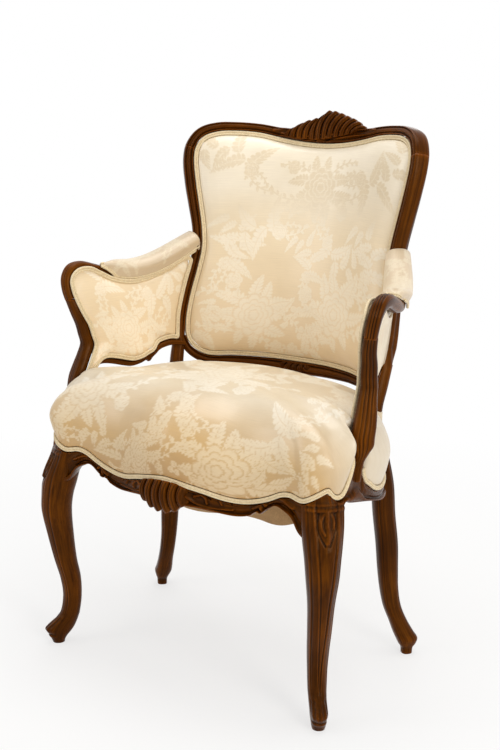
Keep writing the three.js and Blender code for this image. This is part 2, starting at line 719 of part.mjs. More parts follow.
function armRail() {
  const section = roundSection(10, 2.8);
  const stations = 14;
  const rings = [];
  for (let i = 0; i <= stations; i += 1) {
    const share = i / stations;
    const { place, run, up, out } = armStation(share);
    if (i === 0) place.addScaledVector(run, fit);
    const wide = (armRailWidth / 2) * armSize(share, 3);
    const high = (armRailHigh / 2) * armSize(share, 4);
    rings.push(sectionRing(place, out, up, wide, high, section));
  }
  return loft(rings);
}

// Arm pad, a saddle over the arm rail: share along the arm, share of the stuffing
const armPadShares = [
  [0.39, 0.06], [0.405, 0.4], [0.43, 0.7], [0.48, 0.92], [0.56, 1], [0.75, 1], [0.92, 0.9], [1, 0.8],
];
const padFill = tableCurve(armPadShares);
const padWrap = THREE.MathUtils.degToRad(100);
const signedPower = (v, power) => Math.sign(v) * Math.abs(v) ** power;
function armPad() {
  return patch(11, 6, (u, v, layer) => {
    const share = mix(armPadShares[0][0], 1, u);
    const { place, up, out } = armStation(share);
    const fill = layer * padFill(share);
    const angle = padWrap * (2 * v - 1);
    const halfWide = (armRailWidth / 2) * armSize(share, 3) + ease + fit + fill * armPadSide;
    const under = (armRailHigh / 2) * armSize(share, 4) + ease + fit;
    const high = Math.cos(angle) > 0 ? under + fill * armPadRise : under;
    return place.addScaledVector(out, halfWide * signedPower(Math.sin(angle), 0.72))
      .addScaledVector(up, high * signedPower(Math.cos(angle), 0.8));
  });
}

// Arm panel: between the support and the stile, under the arm rail, over the scalloped panel rail
function panelFront(z) {
  if (z < armJointZ) return armPostPlace(z);
  const at = armLine.getPoint(0.18 * Math.min(1, (z - armJointZ) / (armRise * 0.365)));
  return vec(at.x, at.y, z);
}
function panelRear(z) {
  const { edge, out, back } = backStation(shareAtHeight(Math.max(z, backBase + stileFace)));
  return edge.addScaledVector(out, stileFace * 0.4).addScaledVector(back, stileDeep * 0.4).setZ(z);
}
// Share of the way back, share of the seat rail's height
const scallopShares = [
  [0, 1.19], [0.08, 1.2], [0.16, 1.212], [0.24, 1.218], [0.31, 1.212], [0.38, 1.2], [0.45, 1.193],
  [0.53, 1.2], [0.585, 1.215], [0.62, 1.206], [0.655, 1.226], [0.69, 1.249], [0.75, 1.258], [0.83, 1.263],
  [0.92, 1.258], [1, 1.246],
];
const scallop = tableCurve(scallopShares);
const panelTop = tableCurve(armRailShares.slice(3).map(([, back, rise]) => [back, rise]));
const panelOut = armSideways;
const panelRun = vec(-panelOut.y, panelOut.x, 0);
function panelPlace(share, z, offset) {
  const place = panelFront(z).lerp(panelRear(z), share);
  const topShare = THREE.MathUtils.clamp((z - armJointZ * 0.8) / (armJointZ * 0.25), 0, 1);
  const bow = armBow * Math.sin(Math.PI * share) * topShare ** 1.6;
  return place.addScaledVector(panelOut, bow - panelShift + offset);
}
const panelLow = (share) => railTop * scallop(share) + panelRailHigh + 3 * ease;
// Where the ends of the panel's top lie along the arm, as shares of its run
const armShareOf = (place) => (place.y - armFrontY) / armRun;
const topStart = armShareOf(panelFront(armJointZ + armRise * 0.5));
const topEnd = armShareOf(panelRear(armJointZ + armRise * 0.6));
const panelHigh = (share) => armJointZ + armRise * panelTop(mix(topStart, topEnd, share));
const panelSpan = (z) => panelFront(z).distanceTo(panelRear(z));

// Half the support's thickness in the direction of the panel, at a height
function supportHalf(z) {
  if (z > armJointZ) return armRailHigh / 2;
  const half = armPostWidth / 2;
  const wide = half * armPostWide(z) * Math.abs(armPostAcross.dot(panelRun));
  const deep = half * armPostDeep(z) * Math.abs(armPostAlong.dot(panelRun));
  return Math.hypot(wide, deep);
}

// Closed outline of a field of the panel, drawn in from its frame; x is the way back and z the height
const stileHalfShare = 0.6;
function panelCurve(inset, frontShare, topDrop) {
  const frontAt = (z) => (supportHalf(z) * frontShare + ease + inset) / panelSpan(z);
  const rearAt = (z) => 1 - (stileFace * stileHalfShare + ease + inset) / panelSpan(z);
  const low = (share) => panelLow(share) + inset;
  const high = (share) => panelHigh(share) - topDrop - inset;
  const spread = (count) => Array.from({ length: count }, (_, i) => (i + 0.5) / count);
  const places = [];
  for (const s of spread(10)) {
    const share = mix(frontAt(low(0)), rearAt(low(1)), s);
    places.push([share, low(share)]);
  }
  for (const s of spread(4)) {
    const z = mix(low(1), high(1), s);
    places.push([rearAt(z), z]);
  }
  for (const s of spread(7)) {
    const share = mix(rearAt(high(1)), frontAt(high(0)), s);
    places.push([share, high(share)]);
  }
  for (const s of spread(7)) {
    const z = mix(high(0), low(0), s);
    places.push([frontAt(z), z]);
  }
  const points = places.map(([share, z]) => vec(share * armRun, 0, z));
  return new THREE.CatmullRomCurve3(points, true, "centripetal");
}
function panelRing(curve, offset, scale, count) {
  const middle = vec(armRun * 0.5, 0, mix(railTop * 1.2, armJointZ, 0.55));
  return curve.getSpacedPoints(count).slice(0, count).map((p) => {
    const at = p.sub(middle).multiplyScalar(scale).add(middle);
    return panelPlace(at.x / armRun, at.z, offset);
  });
}

// Share of the support's half thickness at which the inner field's cord tucks in
const tuckShare = 0.7;
const panelCount = 28;
const padDrop = 6.5;
// Scale from the middle out, share of the thickness of the stuffing
const panelProfileShares = [[1, 0.5], [0.88, 1], [0.04, 1.15]];
function insidePanel() {
  const near = -panelCore / 2;
  const curve = panelCurve(cordWide + 1.5 * ease, tuckShare, padDrop);
  const rings = [0.04, 0.5, 1].map((scale) => panelRing(curve, near, scale, panelCount));
  for (const [scale, thick] of panelProfileShares) {
    rings.push(panelRing(curve, near - panelThick * thick, scale, panelCount));
  }
  return loft(rings);
}
function outsidePanel() {
  const near = panelCore / 2;
  const curve = panelCurve(3 * ease, 1, armRailHigh / 2);
  return loft([[0.04, 0], [0.5, 0], [1, 0], [1, 1], [0.5, 1.2], [0.04, 1.3]].map(
    ([scale, depth]) => panelRing(curve, near + coverThick * depth, scale, panelCount),
  ));
}
function panelCord() {
  const offset = panelShift - armRailWidth / 2 - fit - cordDeep / 2;
  const loop = panelRing(panelCurve(cordWide / 2, tuckShare, padDrop), offset, 1, panelCount);
  return cordBody(loop, loop.map(() => panelOut.clone().negate()), true);
}
// Share of the way back at which the panel rail ends in the post
const panelRailShare = 0.965;
// Section with a tongue between the two covers: share of the half thickness, share of the rail's height
const panelRailSectionShares = [
  [-1, 1], [-0.8, 0], [0.8, 0], [1, 1], [0.4, 1], [0.4, 1.8], [-0.4, 1.8], [-0.4, 1],
];
function panelRail() {
  const stations = 15;
  const rings = [];
  for (let i = 0; i <= stations; i += 1) {
    const share = (i / stations) * panelRailShare;
    const z = railTop * scallop(share);
    rings.push(panelRailSectionShares.map(([side, rise]) => {
      const half = Math.abs(side) < 0.5 ? (panelCore / 2 - fit) * Math.sign(side) : side * panelRailThick / 2;
      return panelPlace(share, z + rise * panelRailHigh, half);
    }));
  }
  return loft(rings);
}

// Place on the back's surface moved straight back from it
function backPlace(x, z, depth) {
  const slopeX = (-2 * backHollow * x) / backHalf ** 2;
  const normal = vec(-slopeX, 1, -backLean / backRise).normalize();
  return backPoint(x, z).addScaledVector(normal, depth);
}

const backCount = 46;
// Fields of the back: rings drawn in from the edge of the frame, each at a depth behind the show face
function backRing(inset, depth, scale = 1, count = backCount) {
  const middleZ = backBase + backRise * 0.48;
  return Array.from({ length: count }, (_, i) => {
    const { edge, out } = backStation(i / count);
    const rim = edge.addScaledVector(out, -inset);
    return backPlace(rim.x * scale, mix(middleZ, rim.z, scale), depth);
  });
}
const tongueFront = stileDeep * 0.25;
const tongueBack = stileDeep * 0.67;
// Scale from the middle out, share of the crown
const backProfileShares = [[1, 0.1], [0.96, 0.5], [0.84, 0.81], [0.55, 0.97], [0.04, 1]];
function backPad() {
  const inset = cordWide + 2 * ease;
  const rear = tongueFront - ease;
  const rings = [0.04, 0.5, 1].map((scale) => backRing(inset, rear, scale));
  for (const [scale, crown] of backProfileShares) rings.push(backRing(inset, -backCrown * crown, scale));
  return loft(rings);
}
function outsideBack() {
  const inset = cordWide + 2 * ease;
  const near = tongueBack + ease;
  const layer = (depth) => [0.04, 0.5, 1].map((scale) => backRing(inset, depth, scale));
  return loft(layer(near).concat(layer(near + coverThick).reverse()));
}
function backCord(depth, facing) {
  const inset = cordWide / 2 + ease;
  const loop = backRing(inset, depth);
  const faceOut = loop.map((_, i) => backStation(i / loop.length).back.clone().multiplyScalar(facing));
  return cordBody(loop, faceOut, true);
}

// Cord round the seat, under the edge of the cover
function seatCord() {
  const deep = skirtThick + cordProud;
  const loop = seatRing(1, deep / 2 - skirtThick, (p) => coverEdgeZ(p) - ease - 2.5 * fit - cordWide / 2);
  return cordBody(loop, outline.outward, true, 0, cordWide, deep);
}

// A waisted spring: one unbroken wire with a closed turn at each end
const springFoot = webTop - webSag + webThick + fit;
const springHead = seatRecessTop - hessianThick - 4 * fit;
function spring() {
  const steps = springTurns * 8;
  const section = roundSection(5, 2);
  const wire = springWire / 2;
  const rings = [];
  for (let i = 0; i <= steps; i += 1) {
    const share = i / steps;
    const angle = share * springTurns * Math.PI * 2;
    const radius = mix(springWaist, springRadius, (2 * share - 1) ** 2);
    const lift = THREE.MathUtils.smoothstep(share, 0.06, 0.94);
    const out = vec(Math.cos(angle), Math.sin(angle), 0);
    const centre = out.clone().multiplyScalar(radius).setZ(mix(springFoot + wire, springHead - wire, lift));
    rings.push(sectionRing(centre, out, vec(0, 0, 1), wire, wire, section));
  }
  return loft(rings);
}

// Thin sheets inside and under the seat; each has a scale from the middle out and a share of its rise or sag
const hessianShares = [[1, 0], [0.86, 0], [0.66, 1], [0.05, 1]];
const webShares = [[1, 0], [0.72, 1], [0.05, 1]];
const dustShares = [[1, 0], [0.8, 0.8], [0.05, 1]];
function sheet(inset, shares, heightAt, thick) {
  const everyOther = (ring) => ring.filter((_, i) => i % 2 === 0);
  const layer = (lift) => shares.map(([scale, share]) => everyOther(
    seatRing(scale, -inset, () => heightAt(share) + lift),
  ));
  return loft(layer(0).reverse().concat(layer(thick)));
}
const seatHessian = () => sheet(skirtThick + 3 * ease, hessianShares, (share) => mix(
  railTop + fit,
  springHead + fit,
  share,
), hessianThick);
const sheetInset = railThick + 4 * ease;
const seatWebbing = () => sheet(sheetInset, webShares, (share) => webTop - webSag * share, webThick);
const dustCover = () => sheet(sheetInset, dustShares, (share) => dustTop - dustSag * share, dustThick);

// Glued block in a corner of the seat frame
function cornerBlock(cornerX, cornerY, turnY) {
  const shape = new THREE.Shape();
  shape.moveTo(0, 0);
  shape.lineTo(-blockLeg, 0);
  shape.lineTo(0, turnY * blockLeg);
  const geometry = new THREE.ExtrudeGeometry(shape, { depth: blockHigh, bevelEnabled: false });
  geometry.translate(cornerX, cornerY, railTop - fit - blockHigh);
  return solidOf(geometry);
}

// Lower rail of the back, which turns up into the posts at both ends
function backLowerRail(grow = 0) {
  const end = shareAtHeight(backBase + rearLegWidth);
  return frameRun(-end, end, 18, grow);
}

// Tenons, each a bar that runs from inside its rail into the post
const frontTenon = (grow = 0) => barBody(
  vec(frontHalf - 2 * tenonLong, frontY(frontHalf) + railThick * 0.6, railTop * 0.872),
  vec(1, 0, 0), 2 * tenonLong, tenonThick, tenonLong * 1.6, grow,
);
const sideFrontTenon = (grow = 0) => barBody(
  vec(sideX(sideStartY) - railThick * 0.65, sideStartY + 2.6 * tenonLong, railTop * 0.955),
  vec(0, -1, 0), 1.6 * tenonLong, tenonThick, tenonLong, grow,
);
const sideRearTenon = (grow = 0) => {
  const start = sideRailEnd - 1.2 * tenonLong;
  const run = vec(sideX(sideRailEnd) - sideX(start), sideRailEnd - start, 0).normalize();
  const inward = vec(-run.y, run.x, 0);
  const middle = vec(sideX(start), start, railTop * 0.95).addScaledVector(inward, railThick * 0.65);
  return barBody(middle, run, 1.8 * tenonLong, tenonThick, tenonLong, grow);
};
const rearTenon = (grow = 0) => {
  const start = rearHalf - 1.2 * tenonLong;
  const run = vec(rearHalf - start, rearY(rearHalf) - rearY(start), 0).normalize();
  const inward = vec(run.y, -run.x, 0);
  const middle = vec(start, rearY(start), railTop * 0.83).addScaledVector(inward, railThick * 0.4);
  return barBody(middle, run, 1.9 * tenonLong, tenonThick, tenonLong, grow);
};
const shoulderTenon = (grow = 0) => {
  const { edge, out, back } = backStation(joinShare);
  const run = out.clone().cross(back).normalize();
  const up = run.z > 0 ? run : run.negate();
  const middle = edge.addScaledVector(out, stileFace * 0.5).addScaledVector(back, stileDeep * 0.5);
  middle.addScaledVector(up, -tenonLong * 0.5);
  return barBody(middle, up, tenonLong * 1.3, tenonThick, tenonThick, grow);
};
const armTenon = (grow = 0) => {
  const start = armStation(0).place.add(vec(0, 0, -tenonLong * 0.6));
  return barBody(start, vec(0, 0, 1), tenonLong * 1.3, tenonThick, tenonThick, grow);
};
// Every right-hand piece is cut by what it meets, then mirrored for the left
const cutBy = (solid, ...cutters) => cutters.reduce((left, cutter) => left.subtract(cutter), solid);
const both = (solid) => solid.add(mirrored(solid));
const legCut = frontLeg(fit);
const postCut = backPost(fit);
const armPostCut = armPost(fit);
const rebate = rebateCut();
const frontLegSolid = cutBy(frontLeg(), rebate, frontTenon(fit), sideFrontTenon(fit));
const backPostSolid = cutBy(backPost().add(shoulderTenon()), sideRearTenon(fit), rearTenon(fit));
const frontRailSolid = cutBy(frontRail(), both(legCut)).add(both(frontTenon())).add(railShell());
const sideRailSolid = cutBy(sideRail(), legCut, postCut, armPostCut)
  .add(sideFrontTenon()).add(sideRearTenon());
const rearRailSolid = cutBy(rearRail(), both(postCut), both(sideRail(fit))).add(both(rearTenon()));
const joinGap = fit / fieldCurve.getLength();
const crestRun = frameRun(joinShare + joinGap, 1 - joinShare - joinGap, 19);
const crest = cutBy(crestRun, both(shoulderTenon(fit))).add(crestFan());
const lowerRail = cutBy(backLowerRail(), both(postCut)).add(lowerFlower());
const armPostSolid = armPost().add(armTenon());
const armRailSolid = cutBy(armRail(), armPostCut, armTenon(fit), postCut);
const armPadSolid = cutBy(armPad(), postCut);
const panelRailSolid = cutBy(panelRail(), armPostCut, postCut, backLowerRail(fit));
const cushion = cutBy(seatSolid(), both(armPostCut), both(postCut));
const seatCordCuts = [both(postCut), both(armPostCut), frontRail(fit), rearRail(fit)];
const seatCords = cutBy(seatCord(), ...seatCordCuts).decompose();
const seatCordBy = (score) => seatCords.reduce((best, body) => (score(body) > score(best) ? body : best));
const seatFrontCord = seatCordBy((body) => -body.boundingBox().min[1]);
const seatRearCord = seatCordBy((body) => body.boundingBox().max[1]);
const seatSideCord = seatCordBy((body) => body.boundingBox().min[0]);
const frontBlock = cutBy(cornerBlock(
  sideX(sideStartY + blockLeg / 2) - railThick / 2,
  frontY(frontHalf - blockLeg / 2) + railThick / 2,
  1,
), legCut, frontRail(fit), sideRail(fit), frontTenon(fit), sideFrontTenon(fit));
const rearBlock = cutBy(cornerBlock(
  sideX(sideStartY + sideRun - blockLeg / 2) - railThick / 2,
  rearY(rearHalf - blockLeg / 2) - railThick / 2,
  -1,
), postCut, rearRail(fit), sideRail(fit), sideRearTenon(fit), rearTenon(fit), rebate);
const frameCut = both(legCut).add(both(postCut)).add(rearRail(fit));

const material = (color, roughness) => new THREE.MeshStandardMaterial({ color, roughness, metalness: 0 });
const walnut = material(0x3b2014, 0.35);
const damask = material(0xe8d9b8, 0.6);
const cord = material(0xe9dcc0, 0.7);
const beech = material(0xa98a5f, 0.7);
const jute = material(0xb59a6c, 0.9);
const linen = material(0xb99868, 0.9);
const steel = material(0x77706a, 0.4);
const chair = new THREE.Group();
function add(name, solid, finish) {
  const mesh = new THREE.Mesh(geometryOf(mainBody(solid)), finish);
  mesh.name = name;
  chair.add(mesh);
  return mesh;
}
function addPair(name, solid, finish) {
  add(`${name}_left`, mirrored(solid), finish);
  add(`${name}_right`, solid, finish);
}
addPair("front_leg", frontLegSolid, walnut);
addPair("back_post", backPostSolid, walnut);
add("front_rail", frontRailSolid, walnut);
addPair("side_rail", sideRailSolid, walnut);
add("rear_rail", rearRailSolid, walnut);
add("crest_rail", crest, walnut);
add("back_lower_rail", lowerRail, walnut);
addPair("arm_post", armPostSolid, walnut);
addPair("arm_rail", armRailSolid, walnut);
addPair("arm_panel_rail", panelRailSolid, walnut);
addPair("front_corner_block", frontBlock, beech);
addPair("rear_corner_block", rearBlock, beech);
add("seat_webbing", cutBy(seatWebbing(), frameCut), jute);
const springPlaceShares = [[-0.3, -0.17], [0.3, -0.17], [-0.26, 0.16], [0.26, 0.16]];
const springSolid = spring();
springPlaceShares.forEach(([x, y], i) => {
  add(`seat_spring_${i + 1}`, springSolid, steel).position.set(x * sideHalf, seatCentreY + y * sideRun, 0);
});
add("seat_hessian", cutBy(seatHessian(), both(armPostCut), both(postCut)), jute);
add("seat_cushion", cushion, damask);
add("seat_front_cord", seatFrontCord, cord);
addPair("seat_side_cord", seatSideCord, cord);
add("seat_rear_cord", seatRearCord, cord);
add("dust_cover", cutBy(dustCover(), frameCut), linen);
add("back_pad", backPad(), damask);
add("back_cord", backCord(tongueFront - ease - cordDeep / 2, -1), cord);
add("outside_back", outsideBack(), damask);
add("outside_back_cord", backCord(tongueBack + ease + cordDeep / 2, 1), cord);
addPair("arm_pad", armPadSolid, damask);
addPair("inside_arm_panel", insidePanel(), damask);
addPair("inside_arm_cord", panelCord(), cord);
addPair("outside_arm_panel", cutBy(outsidePanel(), armPostCut), damask);
// The origin is under the middle of the chair's outer box, on the floor
const outerBox = new THREE.Box3().setFromObject(chair);
chair.position.y = -(outerBox.min.y + outerBox.max.y) / 2;
export default chair;
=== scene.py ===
"""An upholstered open armchair: carved walnut frame, floral damask covers and double piping.

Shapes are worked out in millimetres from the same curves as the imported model, with y counted back
from the front feet, and are moved into the frame's metres when a mesh is made.
"""
import json

import bmesh
import bpy
import numpy as np
from mathutils import Matrix, Vector


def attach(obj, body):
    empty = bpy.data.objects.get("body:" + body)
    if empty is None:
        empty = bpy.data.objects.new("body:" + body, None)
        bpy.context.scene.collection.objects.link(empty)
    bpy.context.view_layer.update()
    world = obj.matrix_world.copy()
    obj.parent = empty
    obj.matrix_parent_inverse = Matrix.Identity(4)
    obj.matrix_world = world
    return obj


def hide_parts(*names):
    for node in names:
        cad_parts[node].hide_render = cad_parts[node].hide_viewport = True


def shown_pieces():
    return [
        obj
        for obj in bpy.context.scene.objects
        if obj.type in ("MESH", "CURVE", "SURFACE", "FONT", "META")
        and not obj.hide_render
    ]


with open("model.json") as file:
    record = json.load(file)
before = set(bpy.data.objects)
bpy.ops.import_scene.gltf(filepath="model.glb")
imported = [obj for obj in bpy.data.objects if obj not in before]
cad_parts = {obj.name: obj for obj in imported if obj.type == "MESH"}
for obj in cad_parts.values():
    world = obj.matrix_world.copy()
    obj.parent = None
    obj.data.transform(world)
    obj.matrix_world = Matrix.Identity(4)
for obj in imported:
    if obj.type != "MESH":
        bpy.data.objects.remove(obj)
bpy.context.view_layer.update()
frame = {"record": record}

MM = 0.001
TAU = 2 * np.pi
# The first mount is the front left foot, which stands at y = 0 in the millimetre frame
FEET_Y = frame["record"]["mounts"][0]["pos_m"][1]
# Sizes in millimetres, angles in degrees
RAIL_TOP = 430
RAIL_THICK = 26
FRONT_HALF = 262
FRONT_BOW = 42
SIDE_HALF = 302
SIDE_START = 8
SIDE_RUN = 300
REAR_CENTRE_Y = 378
REAR_BOW = 74
REAR_HALF = 228
BACK_BASE = 519
BACK_BASE_Y = 399
BACK_LEAN = 97
BACK_HOLLOW = 103.5
BACK_HALF = 234
BACK_RISE = 441
STILE_FACE = 20
STILE_DEEP = 30
CORD_WIDE = 9
SKIRT_THICK = 9
SEAT_CROWN = 541
SEAT_BULGE = 9
SEAT_CENTRE = np.array([0.0, 150.0, 0.0])
WRAP_DEEP = 25
# Rise of the cover's edge over which the cover turns in behind the arm supports
WRAP_FROM = 22
WRAP_FULL = 60
ARM_JOINT_Z = 656
ARM_FOOT_Z = 414
ARM_FRONT_Y = 89
ARM_RUN = 282
ARM_RISE = 104
ARM_SPREAD = 320
ARM_POST_X = 306
ARM_POST_Y = 60
ARM_POST_SWEEP = 81
PANEL_SHIFT = 6
LEG_X = 286
LEG_SWEEP = 29
LEG_HALF = 28
LEG_TURN = -52
REAR_LEG = (289, 342)
REAR_SWEEP = (61, 45)
POST_HALF = 20
POST_POWER = 2.6
ARM_HALF_WIDE = 14
ARM_HALF_HIGH = 12
REBATE = 11
SILL_GAP = 3.2
CORD_LIFT = 0.6
SEAT_UNDER = 436
BACK_CROWN = 22
PAD_SIDE = 13
PAD_TOP = 19
PANEL_BOW = 20
PANEL_CROWN = 8
DUST_EDGE = 384
DUST_SAG = 84
DUST_INSET = 30
LINING_THICK = 1.6
CURVE_STEPS = 24
STROKE_REACH = 12
SEAT_COUNT = 640
BACK_COUNT = 640
CORD_COUNT = 420
# Scale of a cover's last ring, which is all but closed
CLOSED = 0.004
# Middle of the back's field, as a share of its rise
FIELD_MIDDLE = 0.48
# Room between a cord and the field inside it
CORD_ROOM = 1.2
# In metres
FLOOR_HALF = 20
UP = np.array([0, 0, 1.0])


# Curves and vectors
def table(rows, column=1):
    """Smooth curve through the rows of a table: the first column is where, another is what."""
    x = np.array([row[0] for row in rows], float)
    y = np.array([row[column] for row in rows], float)
    last = len(x) - 1
    before = np.maximum(np.arange(last + 1) - 1, 0)
    after = np.minimum(np.arange(last + 1) + 1, last)
    slope = (y[after] - y[before]) / (x[after] - x[before])

    def at(where):
        where = np.clip(where, x[0], x[-1])
        i = np.clip(np.searchsorted(x, where) - 1, 0, last - 1)
        run = x[i + 1] - x[i]
        t = (where - x[i]) / run
        stay = (1 + 2 * t) * (1 - t) ** 2 * y[i] + t * t * (3 - 2 * t) * y[i + 1]
        return stay + run * (t * (1 - t) ** 2 * slope[i] - t * t * (1 - t) * slope[i + 1])

    return at


def catmull(points, closed, per=CURVE_STEPS):
    """Centripetal curve through points, as close samples and the share of the length at each."""
    p = np.asarray(points, float)
    if closed:
        padded = np.vstack([p[-1], p, p[0], p[1]])
    else:
        padded = np.vstack([2 * p[0] - p[1], p, 2 * p[-1] - p[-2]])
    t = (np.arange(per) / per)[:, None]
    parts = []
    for k in range(len(p) if closed else len(p) - 1):
        p0, p1, p2, p3 = padded[k : k + 4]
        d0, d1, d2 = (max(np.linalg.norm(b - a), 1e-9) ** 0.5 for a, b in ((p0, p1), (p1, p2), (p2, p3)))
        m1 = d1 * ((p1 - p0) / d0 - (p2 - p0) / (d0 + d1) + (p2 - p1) / d1)
        m2 = d1 * ((p2 - p1) / d1 - (p3 - p1) / (d1 + d2) + (p3 - p2) / d2)
        cubic = 2 * p1 - 2 * p2 + m1 + m2
        square = -3 * p1 + 3 * p2 - 2 * m1 - m2
        parts.append(p1 + m1 * t + square * t**2 + cubic * t**3)
    dense = np.vstack([*parts, p[:1] if closed else p[-1:]])
    length = run_length(dense)
    return dense, length / length[-1]


def along(curve, share):
    dense, length = curve
    return np.stack([np.interp(share, length, dense[:, k]) for k in range(3)], axis=-1)


def unit(v):
    return v / np.maximum(np.linalg.norm(v, axis=-1, keepdims=True), 1e-12)


def closed_run(line):
    """Direction at each point of a closed line."""
    return unit(np.roll(line, -1, axis=0) - np.roll(line, 1, axis=0))


def loop_shares(count):
    return np.arange(count) / count


def full_turn(count):
    return np.linspace(-np.pi, np.pi, count, endpoint=False)


def heading(degrees):
    """Direction in plan, turned from the way to the right."""
    turn = np.radians(degrees)
    return np.array([np.cos(turn), np.sin(turn), 0])


def beside(way):
    """A direction in plan turned by a quarter."""
    return np.array([-way[1], way[0], 0])


def in_plan(x, y):
    return np.stack([x, y, np.zeros_like(x)], axis=-1)


def rings_about(centres, *axes):
    """Rings about centres; each axis is a direction and how far each ring point lies along it."""
    rings = centres[:, None]
    for way, reach in axes:
        rings = rings + (way if way.ndim == 1 else way[:, None]) * reach[..., None]
    return rings


def mix(a, b, share):
    return a + (b - a) * share


def smooth(low, high, at):
    t = np.clip((at - low) / (high - low), 0, 1)
    return t * t * (3 - 2 * t)


def bump(at, centre, half):
    """A smooth hump of height 1 about a centre."""
    return np.exp(-(((at - centre) / half) ** 2))


def chaikin(points):
    """Cuts the corners of a closed outline twice, which rounds them."""
    p = np.asarray(points, float)
    for _ in range(2):
        after = np.roll(p, -1, axis=0)
        p = np.stack([0.75 * p + 0.25 * after, 0.25 * p + 0.75 * after], axis=1).reshape(-1, p.shape[1])
    return p


def superellipse(angle, power):
    c, s = np.cos(angle), np.sin(angle)
    reach = (np.abs(c) ** power + np.abs(s) ** power) ** (-1 / power)
    return c * reach, s * reach


# Meshes
def make(name, places, faces, flow, side=1):
    """A closed mesh in the frame from millimetre places; flow is the grain or cloth coordinate."""
    places = places * np.array([side * MM, MM, MM])
    places[:, 1] += FEET_Y
    mesh = bpy.data.meshes.new(name)
    mesh.from_pydata(places.tolist(), [], faces)
    mesh.shade_smooth()
    carried = mesh.attributes.new("flow", "FLOAT_VECTOR", "POINT")
    carried.data.foreach_set("vector", np.asarray(flow, np.float32).ravel())
    work = bmesh.new()
    work.from_mesh(mesh)
    bmesh.ops.recalc_face_normals(work, faces=work.faces)
    work.to_mesh(mesh)
    work.free()
    piece = bpy.data.objects.new(name, mesh)
    bpy.context.scene.collection.objects.link(piece)
    made_pieces.add(piece.name)
    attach(piece, "root")
    finish_with(piece, WALNUT)
    return piece


def grid_faces(rings, count, closed=False, closed_ring=True):
    """Quads between rings of equal point counts; closed joins the last ring to the first."""
    i = np.arange(rings if closed else rings - 1)[:, None]
    j = np.arange(count if closed_ring else count - 1)[None, :]
    k = (j + 1) % count
    after = (i + 1) % rings
    quads = np.stack([i * count + j, i * count + k, after * count + k, after * count + j], axis=-1)
    return quads.reshape(-1, 4).tolist()


def loft(node, form, rings, flow, side=1, closed=False, replaces=True):
    """A closed mesh from an array of rings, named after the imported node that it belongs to."""
    runs, count, _ = rings.shape
    faces = grid_faces(runs, count, closed)
    if not closed:
        faces.append(list(range(count)))
        faces.append(list(range((runs - 1) * count, runs * count)))
    flow = np.broadcast_to(flow, rings.shape).reshape(-1, 3)
    piece = make(f"{node}.{form}", rings.reshape(-1, 3), faces, flow, side)
    if replaces:
        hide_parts(node)
    return piece


def part_name(kind, side):
    return f"{kind}_right" if side > 0 else f"{kind}_left"


def run_length(line):
    """Distance along a line of points at each of them."""
    steps = np.linalg.norm(np.diff(line, axis=0), axis=1)
    return np.concatenate([[0], np.cumsum(steps)])


seeds = iter(range(1000))
made_pieces = set()


def grain(rings, centres, across, along_section):
    """Wood coordinate of each ring point: along the run, then two across it, apart for each piece."""
    seed = next(seeds) * 0.37
    offset = rings - centres[:, None]
    u = run_length(centres)[:, None] * MM + seed
    a, b = (np.einsum("ijk,ik->ij", offset, np.broadcast_to(way, centres.shape)) * MM
            for way in (across, along_section))
    return np.stack([np.broadcast_to(u, a.shape), a + seed, b], axis=-1)


def strokes(x, z, lines):
    """Height of carved strokes on a flat field: each is (path, start width, end width, height)."""
    shape = np.broadcast(x, z).shape
    points = np.stack([np.broadcast_to(x, shape).ravel(), np.broadcast_to(z, shape).ravel()], axis=1)
    height = np.zeros(len(points))
    for path, wide_start, wide_end, high in lines:
        path = along(catmull([(*p, 0) for p in path], False, 8), np.linspace(0, 1, 24))[:, :2]
        low, top = path.min(0) - STROKE_REACH, path.max(0) + STROKE_REACH
        near = ((points > low) & (points < top)).all(1)
        if not near.any():
            continue
        a = path[:-1]
        step = np.diff(path, axis=0)
        p = points[near][:, None]
        t = np.clip(((p - a) * step).sum(-1) / np.maximum((step**2).sum(-1), 1e-9), 0, 1)
        gap = np.linalg.norm(p - (a + t[..., None] * step), axis=-1)
        best = gap.argmin(1)
        rows = np.arange(len(best))
        wide = mix(wide_start, wide_end, (best + t[rows, best]) / len(a))
        lift = high * np.exp(-((gap[rows, best] / wide) ** 2) * 1.6)
        now = height[near]
        height[near] = np.where(np.abs(lift) > np.abs(now), lift, now)
    return height.reshape(shape)


# The seat in plan: share of the half width and of the bow, then share of the way back and of the half width
FRONT_PLAN = table([
    (0, 1), (0.15, 0.9), (0.3, 0.57), (0.45, 0.2), (0.58, 0.04), (0.73, 0), (0.86, 0.07), (1, 0.22),
    (1.15, 0.3),
])
SIDE_PLAN = table([
    (0, 0.97), (0.12, 0.99), (0.3, 1), (0.45, 1), (0.6, 0.975), (0.75, 0.92), (0.88, 0.845), (1, 0.76),
])
# Lower edge of the seat's cover along the front and the side, as a share of the rails' height
COVER_FRONT = table([
    (0, 0.935), (0.13, 0.923), (0.27, 0.902), (0.4, 0.879), (0.5, 0.874), (0.6, 0.885), (0.69, 0.905),
    (0.78, 0.933), (0.86, 0.942), (0.95, 0.933), (1.03, 0.958), (1.1, 0.984), (1.2, 0.984),
])
COVER_SIDE = table([
    (-0.02, 0.985), (0, 0.98), (0.03, 0.957), (0.06, 0.944), (0.085, 0.946), (0.11, 0.963),
    (0.14, 0.998), (0.17, 1.035), (0.192, 1.085), (0.207, 1.13), (0.22, 1.145), (0.25, 1.15),
    (0.287, 1.145), (0.297, 1.1), (0.305, 1.04), (0.322, 0.99), (0.347, 0.962), (0.39, 0.944),
    (0.44, 0.92), (0.493, 0.903), (0.557, 0.892), (0.623, 0.888), (1, 0.884),
])


def front_y(x):
    return -FRONT_BOW * FRONT_PLAN(np.abs(x) / FRONT_HALF)


def side_x(y):
    return SIDE_HALF * SIDE_PLAN((y - SIDE_START) / SIDE_RUN)


